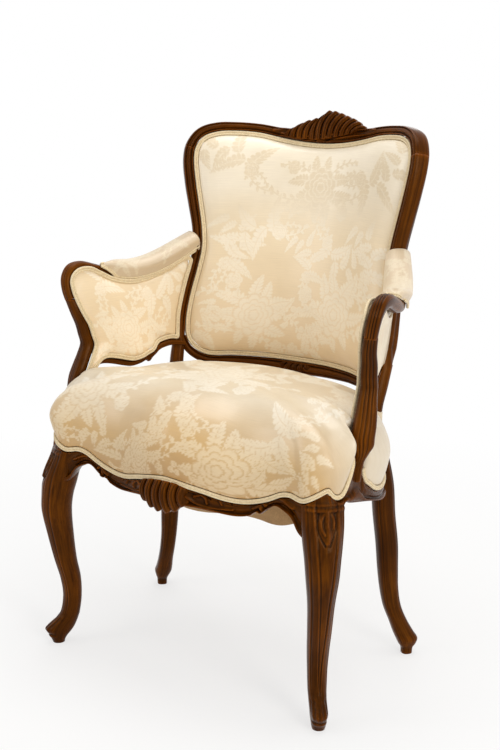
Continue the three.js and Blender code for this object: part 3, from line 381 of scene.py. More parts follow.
def rear_y(x):
    return REAR_CENTRE_Y - REAR_BOW * (x / REAR_HALF) ** 2


def seat_outline(count):
    """Points round the seat from the middle of the front, their outward directions and cover edge."""
    half = [(x, front_y(x)) for x in np.linspace(0, FRONT_HALF * 0.97, 13)]
    start_y = SIDE_START + SIDE_RUN * 0.14
    # Three points steer the curve round the front corner
    front = np.array(half[-1])
    corner = np.array([side_x(SIDE_START) * 0.995, front_y(FRONT_HALF) * 1.4])
    start = np.array([side_x(start_y), start_y])
    for t in (0.2, 0.4, 0.6, 0.8):
        half.append(tuple((1 - t) ** 2 * front + 2 * t * (1 - t) * corner + t * t * start))
    half += [(side_x(y), y) for y in np.linspace(start_y, SIDE_START + SIDE_RUN, 13)]
    rear_start = half[-1][0]
    rear_end = rear_start - RAIL_THICK
    half.append((rear_start - RAIL_THICK * 0.35, rear_y(rear_end) + RAIL_THICK * 0.2))
    half += [(x, rear_y(x)) for x in np.linspace(rear_end, 0, 9)]
    whole = half + [(-x, y) for x, y in half[-2:0:-1]]
    points = along(catmull([(x, y, 0) for x, y in whole], True), loop_shares(count))
    run = closed_run(points)
    x, y = np.abs(points[:, 0]), points[:, 1]
    edge = RAIL_TOP * COVER_SIDE((y - SIDE_START) / SIDE_RUN)
    edge = np.where(y < SIDE_START + SIDE_RUN * 0.02, RAIL_TOP * COVER_FRONT(x / FRONT_HALF), edge)
    edge = np.where(y > rear_y(x) - RAIL_THICK, RAIL_TOP * COVER_SIDE(1), edge)
    # The edge is evened out where its three parts meet
    kernel = np.exp(-(np.arange(-8, 9) / 2.2) ** 2)
    edge = np.convolve(np.concatenate([edge[-8:], edge, edge[:8]]), kernel / kernel.sum(), "valid")
    return points, in_plan(run[:, 1], -run[:, 0]), edge


outline, outward, cover_edge = seat_outline(SEAT_COUNT)


# The back's surface and the line round its field
def back_point(x, z):
    y = BACK_BASE_Y + BACK_LEAN * (z - BACK_BASE) / BACK_RISE - BACK_HOLLOW * (x / BACK_HALF) ** 2
    return np.stack(np.broadcast_arrays(x, y, z), axis=-1)


def back_normal(x):
    """Direction straight back from the back's surface."""
    slope = -2 * BACK_HOLLOW * x / BACK_HALF**2
    lean = np.full_like(slope, BACK_LEAN / BACK_RISE)
    return unit(np.stack([-slope, np.ones_like(slope), -lean], axis=-1))


# Outline of the back's field, as shares of its half width and its rise
FIELD = [
    (0, -0.002), (0.3, 0.001), (0.56, 0.002), (0.735, 0.002), (0.842, 0.034), (0.9, 0.086),
    (0.919, 0.165), (0.91, 0.275), (0.885, 0.39), (0.872, 0.48), (0.889, 0.57), (0.927, 0.673),
    (0.966, 0.773), (0.996, 0.875), (0.991, 0.93), (0.945, 0.975), (0.855, 0.995), (0.727, 0.998),
    (0.556, 0.99), (0.385, 0.97), (0.19, 0.953), (0, 0.947),
]
field_half = [(x * BACK_HALF, 0, BACK_BASE + z * BACK_RISE) for x, z in FIELD]
field_curve = catmull(field_half + [(-x, 0, z) for x, _, z in field_half[-2:0:-1]], True)


def back_station(share):
    """Edge of the field at shares of the way round, with the outward and backward directions."""
    def place(s):
        flat = along(field_curve, np.mod(s, 1))
        return back_point(flat[..., 0], flat[..., 2])

    edge = place(share)
    run = unit(place(share + 0.004) - place(share - 0.004))
    back = back_normal(edge[..., 0])
    return edge, unit(np.cross(back, run)), back


def share_at_height(z):
    shares = np.linspace(0.1, 0.36, 4000)
    return np.interp(z, along(field_curve, shares)[:, 2], shares)


# The frame's face width and the depth of its outer side, from the lower middle round to the upper one
FACE_WIDTH = table([
    (0, 1.25), (0.12, 1.05), (0.24, 0.8), (0.34, 0.8), (0.5, 0.88), (0.62, 1), (0.72, 0.95), (0.8, 0.85),
    (0.88, 0.92), (0.94, 1.2), (1, 1.35),
])
SIDE_DEPTH = table([
    (0, 1), (0.1, 0.8), (0.2, 0.62), (0.32, 0.66), (0.45, 0.8), (0.6, 0.92), (0.75, 1), (1, 1),
])
# Moulding of the back's frame: share of the face width outward, share of the depth back
FRAME_SECTION = chaikin([
    (0, 0.7), (0, 0.4), (0, 0.1), (0.04, 0.0), (0.1, -0.045), (0.17, -0.02), (0.21, 0.07), (0.26, 0.085),
    (0.32, 0.01), (0.42, -0.04), (0.55, -0.05), (0.68, -0.02), (0.77, 0.05), (0.81, 0.07), (0.85, 0.0),
    (0.91, -0.03), (0.97, 0.04), (1.01, 0.18), (1.01, 0.36), (1, 0.6), (0.92, 0.85), (0.75, 0.98),
    (0.5, 1), (0.25, 0.98), (0.06, 0.88),
])
# Height at which the posts meet the crest rail
JOIN_HEIGHT = 925
JOIN_SHARE = share_at_height(JOIN_HEIGHT)
# Share of the way round that stays open at that joint
JOINT_GAP = 0.0002
# Height over the back's base to which the lower rail runs up
LOWER_RAIL_RISE = 40


def frame_rings(shares):
    """Rings of the moulded frame, their centres and the two directions of the section."""
    edge, out, back = back_station(shares)
    fold = 1 - np.abs(1 - 2 * np.mod(shares, 1))
    wide = STILE_FACE * FACE_WIDTH(fold)
    a, b = FRAME_SECTION.T
    outer = STILE_DEEP * mix(1, SIDE_DEPTH(fold)[:, None], smooth(0.5, 0.8, a))
    rings = rings_about(edge, (out, a * wide[:, None]), (back, b * np.where(a > 0.5, outer, STILE_DEEP)))
    centres = edge + out * (wide / 2)[:, None] + back * STILE_DEEP / 2
    return rings, centres, out, back


# Back posts, leg part: share of the height, sweep sideways and forward, half width and half depth
BACK_POST = [
    (0, 0.03, 0.02, 0.5, 0.5), (0.022, 0.03, 0.02, 0.54, 0.56), (0.034, 0.03, 0.01, 0.66, 0.8),
    (0.055, 0.06, 0, 0.88, 1.02), (0.076, 0.15, 0.07, 0.85, 0.97), (0.118, 0.295, 0.22, 0.78, 0.85),
    (0.172, 0.46, 0.38, 0.78, 0.82), (0.236, 0.565, 0.45, 0.82, 0.85), (0.308, 0.62, 0.49, 0.9, 0.93),
    (0.399, 0.67, 0.53, 0.95, 1), (0.507, 0.754, 0.67, 0.98, 1), (0.616, 0.81, 0.78, 1, 1),
    (0.728, 0.95, 0.93, 0.88, 0.88), (0.815, 1.09, 1, 0.72, 0.72), (0.87, 1.11, 0.93, 0.7, 0.72),
    (0.933, 1.06, 0.71, 0.68, 0.74), (1, 1, 0.45, 0.6, 0.68),
]
NECK_TOP = 552
STILE_START = 588
POST_TURN = -39.7


def back_post(side):
    rise = np.concatenate([np.linspace(0, 0.14, 30), np.linspace(0.15, 1, 70)])
    centre, across, wide, deep = rear_at(rise * NECK_TOP)
    a, b = FRAME_SECTION.T
    c, s = superellipse(np.arctan2(b - 0.5, a - 0.5), POST_POWER)
    # A soft arris line down the outer corners of the leg
    turn = np.arctan2(s, c)
    line = bump(turn, -0.75, 0.07) + bump(turn, 0.75, 0.07)
    shrink = 1 - 0.05 * line * smooth(0.1, 0.2, rise)[:, None]
    leg = rings_about(centre, (across, c * shrink * wide[:, None]),
                      (beside(across), s * shrink * deep[:, None]))
    above, _, out, back = frame_rings(np.linspace(share_at_height(STILE_START), JOIN_SHARE, 110))
    # The neck turns smoothly into the stile
    neck = mix(leg[-1], above[0], smooth(0, 1, np.linspace(0, 1, 12)[1:-1, None, None]))
    rings = np.concatenate([leg, neck, above])
    ways = [np.concatenate([np.tile(low, (len(leg) + len(neck), 1)), high])
            for low, high in ((across, out), (beside(across), back))]
    return loft(part_name("back_post", side), "shape", rings, grain(rings, rings.mean(axis=1), *ways), side)


# Carved crest and the rails of the back
def frame_run(node, start, end, stations, carve=None):
    rings, centres, out, back = frame_rings(np.linspace(start, end, stations))
    flow = grain(rings, centres, out, back)
    if carve:
        rings = carve(rings, back)
    return loft(node, "shape", rings, flow)


def crest_carving(rings, back):
    """Leaf scrolls that run out from the carving along the crest's face."""
    height = strokes(rings[..., 0], rings[..., 2], [
        ([(-12, 940), (8, 949), (34, 958), (70, 963), (120, 966)], 5.5, 2.5, 6),
        ([(8, 938), (26, 944), (60, 951), (96, 955)], 4, 1.5, 4),
        ([(-88, 952), (-60, 944), (-34, 948), (-18, 958)], 5, 3, 6),
        ([(-104, 960), (-84, 962), (-66, 958)], 4, 3, 5),
        ([(-46, 938), (-26, 942), (-8, 952)], 3.5, 2, 5),
    ])
    front = FRAME_SECTION[:, 1] < 0.12
    return rings - back[:, None] * (height * front)[..., None]


def fan_patch(name, foot, rim, ribs, deep, thick, seat, seed):
    """Carved ribs from a foot line to a scalloped rim, as a closed patch; both are (x, z) points."""
    u = np.linspace(0, 1, 170)
    v = np.linspace(0, 1, 44)[:, None]
    start, far = (along(catmull([(x, 0, z) for x, z in line], False), u)[None] for line in (foot, rim))
    wave = np.abs(np.sin(np.pi * ribs * u)) ** 0.8
    reach = v * (1 - 0.1 * (1 - wave) * v**3)
    at = start + (far - start) * reach[..., None]
    # Each rib leans over as it rises
    lean = np.sin(np.pi * v) * np.linalg.norm(far - start, axis=-1) * 0.09
    x, z = at[..., 0] - lean, at[..., 2] + lean * 0.5
    belly = np.sin(np.pi * np.clip(v * 0.8 + 0.16, 0, 1)) ** 0.6
    ends = np.minimum(1, np.minimum(u, 1 - u) * 12) ** 0.5
    veins = 0.13 * np.abs(np.sin(np.pi * ribs * 3 * u)) * (wave > 0.3)
    lift = deep * belly * (0.3 + 0.6 * wave + veins) * ends
    sheets = [seat(x, z, height).reshape(-1, 3) for height in (lift, np.full_like(lift, -thick))]
    places = np.concatenate(sheets)
    rows, cols = lift.shape
    faces = grid_faces(rows, cols, closed_ring=False)
    faces += [[i + rows * cols for i in reversed(face)] for face in faces]
    # Once round the rim of the front sheet, each step closed to the rear sheet
    edge = [*range(cols), *(i * cols + cols - 1 for i in range(1, rows))]
    edge += range(rows * cols - 2, (rows - 1) * cols - 1, -1)
    edge += (i * cols for i in range(rows - 2, 0, -1))
    faces += [[a, b, b + rows * cols, a + rows * cols] for a, b in zip(edge, edge[1:] + edge[:1])]
    flow = np.stack([places[:, 2] * 0.6, places[:, 0], places[:, 1]], axis=1) * MM + seed
    return make(name, places, faces, flow)


def on_back(x, z, lift):
    """Place in front of the back's surface."""
    return back_point(x, z) + face_front * lift[..., None]


def on_rail(x, z, lift):
    """Place in front of the front rail."""
    return np.stack([x, front_y(x) - lift, z], axis=-1)


def under_back(x, z, lift):
    """Place in front of the lower rail of the back."""
    return back_point(x, z) + np.stack([0 * lift, 3 - lift, 0 * lift], axis=-1)


# Front legs: share of the height, sweep inward, half width and half depth
FRONT_LEG = [
    (0, 0, 0.41, 0.39), (0.014, -0.02, 0.48, 0.44), (0.033, 0, 0.66, 0.48), (0.047, 0.04, 0.82, 0.51),
    (0.07, 0.14, 0.98, 0.53), (0.107, 0.55, 0.8, 0.55), (0.14, 0.83, 0.66, 0.57), (0.214, 1, 0.63, 0.6),
    (0.302, 0.9, 0.7, 0.66), (0.395, 0.59, 0.77, 0.72), (0.512, 0.31, 0.89, 0.8),
    (0.628, 0.1, 1.02, 0.98), (0.698, 0.17, 1.07, 1.07), (0.767, 0.36, 1.18, 1.18),
    (0.837, 0.55, 1.24, 1.26), (0.92, 0.78, 1.16, 1.25), (1, 0.95, 1, 1.15),
]


def front_leg(side):
    # Denser rings at the foot and at the knee
    parts = ((0, 0.16, 60), (0.165, 0.7, 90), (0.705, 0.99, 90))
    rise = np.concatenate([np.linspace(*part) for part in parts])
    sweep, wide, deep = (table(FRONT_LEG, k)(rise)[:, None] for k in (1, 2, 3))
    out = heading(LEG_TURN)
    across = beside(out)
    centre = np.stack([np.full_like(rise, LEG_X), np.zeros_like(rise), rise * RAIL_TOP], axis=1)
    centre = centre - out * sweep * LEG_SWEEP
    turn = full_turn(128)
    c, s = superellipse(turn, 2.15)
    up = rise[:, None]
    z = up * RAIL_TOP
    angle = turn - np.radians(8) + 0 * up
    size = np.abs(angle)
    # Mouldings: a groove on each side of the knee's panel that meet above the foot, and beads outside them
    spread = table([(0.1, 0.0), (0.2, 0.1), (0.4, 0.26), (0.6, 0.36), (0.75, 0.46), (0.86, 0.5)])(up)
    shown = smooth(0.1, 0.2, up) * (1 - smooth(0.9, 0.94, up))
    height = np.zeros(angle.shape)
    mouldings = ((spread, 0.05, -1.5), (spread + 0.12, 0.06, 0.8), (0.95, 0.05, -0.9), (1.08, 0.07, 0.7))
    for way in (-1, 1):
        for at, half, lift in mouldings:
            height += lift * bump(angle, way * at, half) * shown
    # Knee: a band, a sunk ground and a hanging leaf
    height -= 1.6 * smooth(0.56, 0.36, size) * smooth(318, 338, z) * smooth(385, 378, z)
    height += smooth(0.75, 0.55, size) * strokes(angle * 32, z, [
        ([(0, 379), (0, 364), (1, 352)], 5.5, 3.8, 4.6),
        ([(1, 353), (1, 343), (0, 337)], 5.2, 4.2, 4.4),
        ([(-5, 379), (-10, 367), (-8, 355), (-4, 348)], 3, 2, 3),
        ([(6, 379), (10, 369), (9, 358)], 3, 1.6, 2.6),
        ([(-13, 380), (-16, 362), (-12, 345), (-4, 331)], 1.6, 1.3, -2.6),
        ([(13, 380), (15, 364), (11, 348), (4, 331)], 1.5, 1.2, -2.2),
        ([(0, 374), (0.5, 358)], 1.1, 0.8, -1.5),
    ])
    height += 2.2 * (bump(z, 385, 3.2) + 0.7 * bump(z, 393, 2.4)) * smooth(1.3, 0.9, size)
    # Foot: a scrolled toe with flutes over a small block
    toe = smooth(1.5, 0.7, np.abs(turn))
    height += toe * (1.6 * bump(z, 30, 7) - 1.8 * bump(z, 18.5, 2.2) + 0.9 * bump(z, 13.5, 2.5))
    height += 0.9 * toe * np.cos(angle * 13) * bump(z, 38, 13)
    height -= 1.3 * toe * bump(z, 47, 3) * smooth(0.2, 0.6, size)
    # Under the cover the knee draws back on its outer side
    drawn = 1 - 0.42 * smooth(318, 398, z) * smooth(-0.1, 0.7, c)
    rings = rings_about(centre, (out, c * LEG_HALF * wide * drawn), (across, s * LEG_HALF * deep))
    flow = grain(rings, centre, out, across)
    normal = unit(np.stack([c / wide, s / deep], axis=-1))
    push = out * normal[..., :1] + across * normal[..., 1:]
    # The top stays behind the cover's edge
    rings = under_cover(rings + push * height[..., None])
    return loft(part_name("front_leg", side), "shape", rings, flow, side)


def nearest_edge(x, y):
    """Number of the outline's point nearest to each place in plan, with the left half folded over."""
    away = in_plan(np.abs(x), y)[..., None, :] - outline[: SEAT_COUNT // 2 + 1]
    return (away**2).sum(-1).argmin(-1)


def edge_height(x, y):
    """Height of the sill under the cover's cord next to a place in plan."""
    return cover_edge[nearest_edge(x, y)] - CORD_WIDE - SILL_GAP


def inside_depth(x, y):
    """How far a place in plan lies inside the outline of the seat."""
    near = nearest_edge(x, y)
    return ((outline[near] - in_plan(np.abs(x), y)) * outward[near]).sum(-1)


def under_cover(rings):
    """Lowers what would stand in the rebate that holds the skirt and its cord."""
    tall = rings[..., 2] > 300
    x, y, z = rings[tall].T
    sill = edge_height(x, y)
    lowered = mix(z, sill, smooth(14, 9, inside_depth(x, y)))
    rings[tall, 2] = np.where(z > sill, lowered, z)
    return rings


# Seat rails: their lower edges as shares of the rails' height, from the middle or the front on
FRONT_DROP = table([
    (0, 0.822), (0.19, 0.82), (0.25, 0.816), (0.34, 0.807), (0.46, 0.798), (0.56, 0.809), (0.61, 0.83),
    (0.64, 0.826), (0.68, 0.847), (0.75, 0.872), (0.82, 0.858), (0.88, 0.833), (0.93, 0.786), (1, 0.76),
])
SIDE_DROP = table([
    (0, 0.8), (0.06, 0.84), (0.12, 0.905), (0.2, 0.89), (0.3, 0.875), (0.43, 0.855), (0.62, 0.823),
    (0.8, 0.805), (1, 0.79),
])
REAR_DROP = table([(0, 0.83), (0.5, 0.82), (0.8, 0.8), (1, 0.79)])
# Face of a rail from its foot up: share of the height, how far it stands out in millimetres
FACE = table([
    (0, -1.5), (0.05, 2.4), (0.11, 4), (0.17, 2.6), (0.21, -0.6), (0.26, -2.4), (0.36, -2), (0.5, -0.4),
    (0.66, 0.8), (0.8, 0.4), (0.9, -0.6), (1, -0.6),
])


def rail(node, places, low, side=1, relief=None):
    """A seat rail with a moulded face; places is the outer line and low its lower edge."""
    run = unit(np.gradient(places, axis=0))
    inward = in_plan(-run[:, 1], run[:, 0])
    sill = edge_height(places[:, 0], places[:, 1])
    share = np.linspace(0, 1, 44)
    z = mix(low[:, None], sill[:, None], share)
    out = FACE(share) + (relief(places, z) if relief else 0 * z)
    face = places[:, None] - inward[:, None] * out[..., None]
    face[..., 2] = z
    top = np.full_like(sill, RAIL_TOP)
    inner = [(REBATE, sill), (REBATE, top), (RAIL_THICK, top), (RAIL_THICK, mix(low, RAIL_TOP, 0.5)),
             (RAIL_THICK, low + 1), (RAIL_THICK * 0.6, low - 0.3), (3, low - 0.3)]
    inner = [np.column_stack([(places + inward * deep)[:, :2], height]) for deep, height in inner]
    rings = np.concatenate([face, np.stack(inner, axis=1)], axis=1)
    centres = places + inward * RAIL_THICK / 2
    centres[:, 2] = (low + sill) / 2
    return loft(node, "shape", rings, grain(rings, centres, inward, UP), side)


def front_relief(places, z):
    """Leaf scrolls and buds carved on the front rail, apart from its shell."""
    return 1.25 * strokes(np.abs(places[:, :1]), z, [
        ([(42, 372), (56, 362), (74, 356), (96, 354), (118, 355)], 4.5, 2.4, 4),
        ([(46, 384), (62, 380), (74, 371), (76, 362)], 4, 2.2, 5),
        ([(56, 374), (76, 378), (94, 372), (100, 362)], 3.4, 2, 4.5),
        ([(70, 386), (90, 384), (106, 376), (110, 366)], 3, 1.6, 4),
        ([(92, 381), (108, 380), (120, 372), (122, 364)], 2.4, 1.4, 3.5),
        ([(48, 366), (60, 360), (70, 358)], 2.2, 1.2, -3),
        ([(60, 382), (72, 377), (82, 369)], 1.8, 1.2, -3),
        ([(82, 378), (92, 374), (98, 366)], 1.8, 1.2, -3),
        ([(104, 374), (112, 368), (116, 362)], 1.6, 1, -2.5),
        ([(154, 364), (164, 369), (172, 375), (178, 372)], 4, 3.5, 4),
        ([(168, 374), (168, 366), (169, 361)], 4.6, 3.4, 3.6),
        ([(174, 378), (190, 388), (210, 389), (232, 380)], 3.4, 3.4, 4.5),
        ([(178, 370), (194, 379), (212, 379), (230, 368)], 1.6, 1.6, -3),
    ])


def seat_rails():
    x = np.linspace(-FRONT_HALF, FRONT_HALF, 340)
    low = RAIL_TOP * FRONT_DROP(np.abs(x) / FRONT_HALF)
    rail("front_rail", in_plan(x, front_y(x)), low, relief=front_relief)
    share = np.linspace(0, 1, 130)
    y = mix(SIDE_START, SIDE_START + SIDE_RUN * 0.93, share)
    for side in (1, -1):
        rail(part_name("side_rail", side), in_plan(side_x(y), y), RAIL_TOP * SIDE_DROP(share), side)
    x = np.linspace(REAR_HALF * 0.97, -REAR_HALF * 0.97, 90)
    rail("rear_rail", in_plan(x, rear_y(x)), RAIL_TOP * REAR_DROP(np.abs(x) / REAR_HALF))


# Arm supports: share of the height, place outward and back, half width and half depth
ARM_POST = [
    (0, 0.977, 0.31, 0.3, 0.28), (0.136, 0.984, 0.32, 0.42, 0.45), (0.2, 0.995, 0.34, 0.6, 0.6),
    (0.254, 1, 0.34, 0.92, 0.66), (0.31, 0.998, 0.35, 1, 0.7), (0.393, 0.998, 0.42, 0.97, 0.7),
    (0.478, 0.99, 0.53, 0.9, 0.68), (0.562, 0.98, 0.64, 0.8, 0.66), (0.636, 0.975, 0.72, 0.75, 0.65),
    (0.711, 0.98, 0.66, 0.73, 0.62), (0.795, 0.988, 0.6, 0.7, 0.62), (0.888, 1, 0.48, 0.65, 0.59),
    (1, 1.02, 0.38, 0.6, 0.57),
]
POST_ACROSS = heading(35)
SIDEWAYS = heading(18)
# Arm rails: shares of the spread, the run and the rise, half width and half height
ARM_RAIL = [
    (0.975, 0.007, 0, 0.82, 0.92), (0.989, -0.003, 0.183, 0.85, 0.96), (1, 0.007, 0.365, 0.88, 1),
    (1.003, 0.052, 0.5, 0.9, 1), (0.997, 0.131, 0.529, 0.95, 1), (0.978, 0.241, 0.452, 1, 0.95),
    (0.947, 0.372, 0.34, 1, 0.9), (0.903, 0.51, 0.28, 1, 0.9), (0.85, 0.648, 0.32, 1, 0.9),
    (0.797, 0.776, 0.44, 1, 0.9), (0.744, 0.897, 0.61, 0.95, 0.9), (0.694, 1.014, 0.79, 0.9, 0.9),
]
arm_curve = catmull([(x * ARM_SPREAD, ARM_FRONT_Y + y * ARM_RUN, ARM_JOINT_Z + z * ARM_RISE)
                     for x, y, z, _, _ in ARM_RAIL], False)


def arm_station(share):
    """Place on the arm line with its forward, upward and sideways directions and half sizes."""
    share = np.clip(share, 0, 1)
    place, after, before = (along(arm_curve, np.clip(share + step, 0, 1)) for step in (0, 0.004, -0.004))
    run = unit(after - before)
    up = unit(-np.cross(run, SIDEWAYS))
    out = unit(-np.cross(up, run))
    rows = np.linspace(0, 1, len(ARM_RAIL))
    wide, high = (half * np.interp(share, rows, [row[k] for row in ARM_RAIL])
                  for half, k in ((ARM_HALF_WIDE, 3), (ARM_HALF_HIGH, 4)))
    return place, run, up, out, wide, high


def fluted(turn, centres, half, deep):
    """Grooves round a section."""
    return -deep * sum(bump(turn, c, half) for c in centres)


def arm_post(side):
    rise = np.linspace(0, 1, 120)
    centre, across, wide, deep = post_at(mix(ARM_FOOT_Z, ARM_JOINT_Z, rise))
    turn = full_turn(112)
    c, s = superellipse(turn, 2.5)
    height = fluted(turn, (-1.98, -1.6, -1.2), 0.07, 1.1) - fluted(turn, (-1.4, -1.79), 0.1, 0.35)
    height = height * smooth(0.1, 0.3, rise)[:, None]
    rings = rings_about(centre, (across, c * wide[:, None] * (1 + height / POST_HALF)),
                        (beside(across), s * (deep[:, None] + height)))
    flow = grain(rings, centre, across, beside(across))
    return loft(part_name("arm_post", side), "shape", rings, flow, side)


def arm_rail(side):
    share = np.linspace(0.002, 1, 130)
    place, _, up, out, wide, high = arm_station(share)
    turn = full_turn(96)
    c, s = superellipse(turn, 2.7)
    # The upper face carries the flutes of the support over the scroll
    height = fluted(turn, (1.19, 1.57, 1.95), 0.085, 1.3) * smooth(0.36, 0.28, share)[:, None]
    rings = rings_about(place, (out, c * wide[:, None]), (up, s * (high[:, None] + height)))
    return loft(part_name("arm_rail", side), "shape", rings, grain(rings, place, out, up), side)


# Fullness of the pad along the arm
PAD = [
    (0.39, 0.05), (0.396, 0.3), (0.412, 0.56), (0.445, 0.83), (0.5, 0.98), (0.55, 1), (0.75, 1),
    (0.92, 0.9), (1, 0.8),
]


def signed_power(v, power):
    """A power that keeps the sign."""
    return np.sign(v) * np.abs(v) ** power


def arm_pad(side):
    """A saddle of stuffing over the arm rail, with piping along its lower edges."""
    u = np.concatenate([[0, 0.006, 0.014], np.linspace(0.025, 1, 90)])
    # The pad starts as a narrow tongue on top of the rail and spreads round it further back
    spread = table([(0, 0.3), (0.04, 0.5), (0.12, 0.76), (0.24, 1), (1, 1)])(u)[:, None]
    around = np.linspace(-1, 1, 72)
    angle = np.radians(100) * around * spread
    c, s = np.cos(angle), np.sin(angle)
    pad_start = PAD[0][0]
    front = pad_start + 0.008 - 0.085 * smooth(0.3, -0.9, s) + 0.06 * smooth(0.1, 0.95, s) ** 1.4
    place, run, up, out, wide, high = arm_station(mix(front, 1, u[:, None]))
    fill = table(PAD)(mix(pad_start, 1, u))[:, None]
    tuck = 1 - 0.85 * smooth(0.55, 1, np.abs(around))
    roof = 1 - (1 - spread**2) * smooth(0.4, 1, np.abs(around))

    def layer(amount):
        side_reach = wide + 1.3 + amount * fill * PAD_SIDE * tuck
        top = high + 1.3 + np.where(c > 0, amount * fill * PAD_TOP * roof, 0)
        return (place + out * (side_reach * signed_power(s, 0.72))[..., None]
                + up * (top * signed_power(c, 0.8))[..., None])

    outer, lining = layer(1.0), layer(0.0)
    length = run_length(place[:, 36])[:, None]
    flow = cloth_flow(length, angle * 26, ARM_PAD_MOTIFS, 2)
    name = part_name("arm_pad", side)
    piece = loft(name, "cover", np.concatenate([outer, lining[:, ::-1]], axis=1),
                 np.concatenate([flow, flow[:, ::-1]], axis=1), side)
    for edge, near, label in ((0, 3, "inner"), (-1, -4, "outer")):
        face = unit(outer[:, edge] - place[:, edge])
        line = outer[:, edge] + unit(outer[:, edge] - outer[:, near]) * 1.5 + face
        double_cord(name, line[3:], face[3:], side, f"piping_{label}", wide=7.5, thick=4.5)
    face = -run[0, 4:-4]
    line = outer[0, 4:-4] + face * 1.5 + unit(outer[2] - lining[2])[4:-4] * 2.5
    double_cord(name, line, face, side, "piping_front", wide=6.5, thick=4)
    return piece


# Double piping: two small cords side by side
def cord_section(wide, thick):
    """Two round beads side by side, with a groove between them."""
    small = wide / 4
    turn = np.radians(np.linspace(24, 336, 18))
    x = -small + small * np.cos(turn)
    y = thick / 2 * np.sin(turn)
    return np.concatenate([x, -x]), np.concatenate([y, -y])


def double_cord(node, line, face_out, side=1, form="piping", closed=False, wide=CORD_WIDE, thick=5.5):
    """Double piping along a line. A form of its own marks the piping of a node that has other pieces too."""
    run = closed_run(line) if closed else unit(np.gradient(line, axis=0))
    across = unit(np.cross(run, face_out))
    x, y = cord_section(wide, thick)
    rings = rings_about(line, (across, x[None]), (unit(np.cross(across, run)), y[None]))
    shape = rings.shape[:2]
    flow = np.stack([np.broadcast_to(at, shape) for at in (run_length(line)[:, None], x, y)], axis=-1) * MM
    piece = loft(node, form, rings, flow, side, closed, replaces=form == "piping")
    finish_with(piece, PIPING)
    return piece


# Damask: tone-on-tone flowers, leaves and sprays worked out from formulas
def petals(x, y, size, turn, count):
    """A flower head of overlapping petals; 1 on the petals, with thin darker lines between them."""
    r = np.hypot(x, y) / size
    a = np.arctan2(y, x) - turn
    value = np.zeros_like(r)
    rings = ((1.0, count, 0.22), (0.74, count - 1, 0.2), (0.5, count - 2, 0.2), (0.28, 5, 0.2))
    for ring, (reach, n, deep) in enumerate(rings):
        phase = n * (a + ring * 0.6)
        rim = reach * (1 - deep + deep * np.abs(np.cos(phase / 2)) ** 0.6)
        inside = smooth(0.03, -0.03, r - rim)
        edge = bump(r - rim, -0.02, 0.035)
        vein = 0.35 * bump(np.sin(phase * 1.5), 0, 0.25) * smooth(rim - 0.28, rim, r)
        value = np.where(inside > 0.5, 1 - 0.75 * edge - vein * inside, np.maximum(value, inside))
    return np.clip(value, 0, 1)


def leaf(x, y, long, wide, turn, curl, teeth=7):
    """A lobed leaf with a midrib and slanting veins, from its stalk at the origin."""
    c, s = np.cos(turn), np.sin(turn)
    u = (x * c + y * s) / long
    v = (-x * s + y * c) / long - curl * u * u
    t = np.clip(u - 0.5 * np.abs(v), 0, 1)
    lobes = np.abs(np.sin(np.pi * teeth * t)) ** 0.5
    rim = wide / long * np.sin(np.pi * np.clip(u, 0, 1) ** 0.75) ** 0.7 * (0.45 + 0.6 * lobes)
    inside = smooth(0.02, -0.02, np.abs(v) - rim) * (u > 0) * (u < 1)
    rib = bump(v, 0, 0.016)
    vein = 0.55 * bump(np.sin(np.pi * teeth * t), 0, 0.22) * smooth(0.015, 0.05, np.abs(v))
    return inside * np.clip(1 - 0.85 * rib - vein, 0, 1)


def blob(x, y, size):
    r = np.hypot(x, y) / size
    return smooth(1.1, 0.9, r) * (1 - 0.5 * bump(r, 0.45, 0.12))


def spray(x, y, long, turn, curl):
    """A curved stem with small paired leaves and a bud at its tip."""
    value = np.zeros_like(x)
    steps = 9
    stride = long / steps
    for i in range(steps):
        turn += curl / steps
        dx, dy = stride * np.cos(turn), stride * np.sin(turn)
        t = np.clip((x * dx + y * dy) / stride**2, 0, 1)
        value = np.maximum(value, smooth(1.6, 0.8, np.hypot(x - t * dx, y - t * dy)))
        # From here on, places are counted from the step's end
        x, y = x - dx, y - dy
        small = long * (0.2 - 0.012 * i)
        way = 1 if i % 2 else -1
        value = np.maximum(value, leaf(x, y, small, small * 0.28, turn + way * 0.9, 0, 3))
    return np.maximum(value, blob(x, y, long * 0.06))


def damask(x, y, motifs):
    """Share of the motif, 0 to 1, at places of a cloth in millimetres."""
    shape = np.broadcast(x, y).shape
    x, y = np.broadcast_to(x, shape).ravel(), np.broadcast_to(y, shape).ravel()
    value = np.zeros(x.size)
    for kind, cx, cy, size, turn, extra in motifs:
        px, py = x - cx, y - cy
        near = (np.abs(px) < size * 1.25) & (np.abs(py) < size * 1.25)
        if not near.any():
            continue
        px, py = px[near], py[near]
        turn = np.radians(turn)
        if kind == "flower":
            drawn = petals(px, py, size, turn, extra)
        elif kind == "leaf":
            drawn = leaf(px, py, size, size * 0.27, turn, extra)
        elif kind == "spray":
            drawn = spray(px, py, size, turn, extra)
        else:
            drawn = blob(px, py, size)
        value[near] = np.where(drawn > 0.02, drawn, value[near])
    return value.reshape(shape)


def cloth_flow(x, y, motifs, shift=0):
    """Cloth coordinate in metres of places in millimetres; the third value is the share of the motif."""
    x, y = np.broadcast_arrays(x, y)
    return np.stack([x * MM + shift, y * MM, damask(x, y, motifs)], axis=-1)


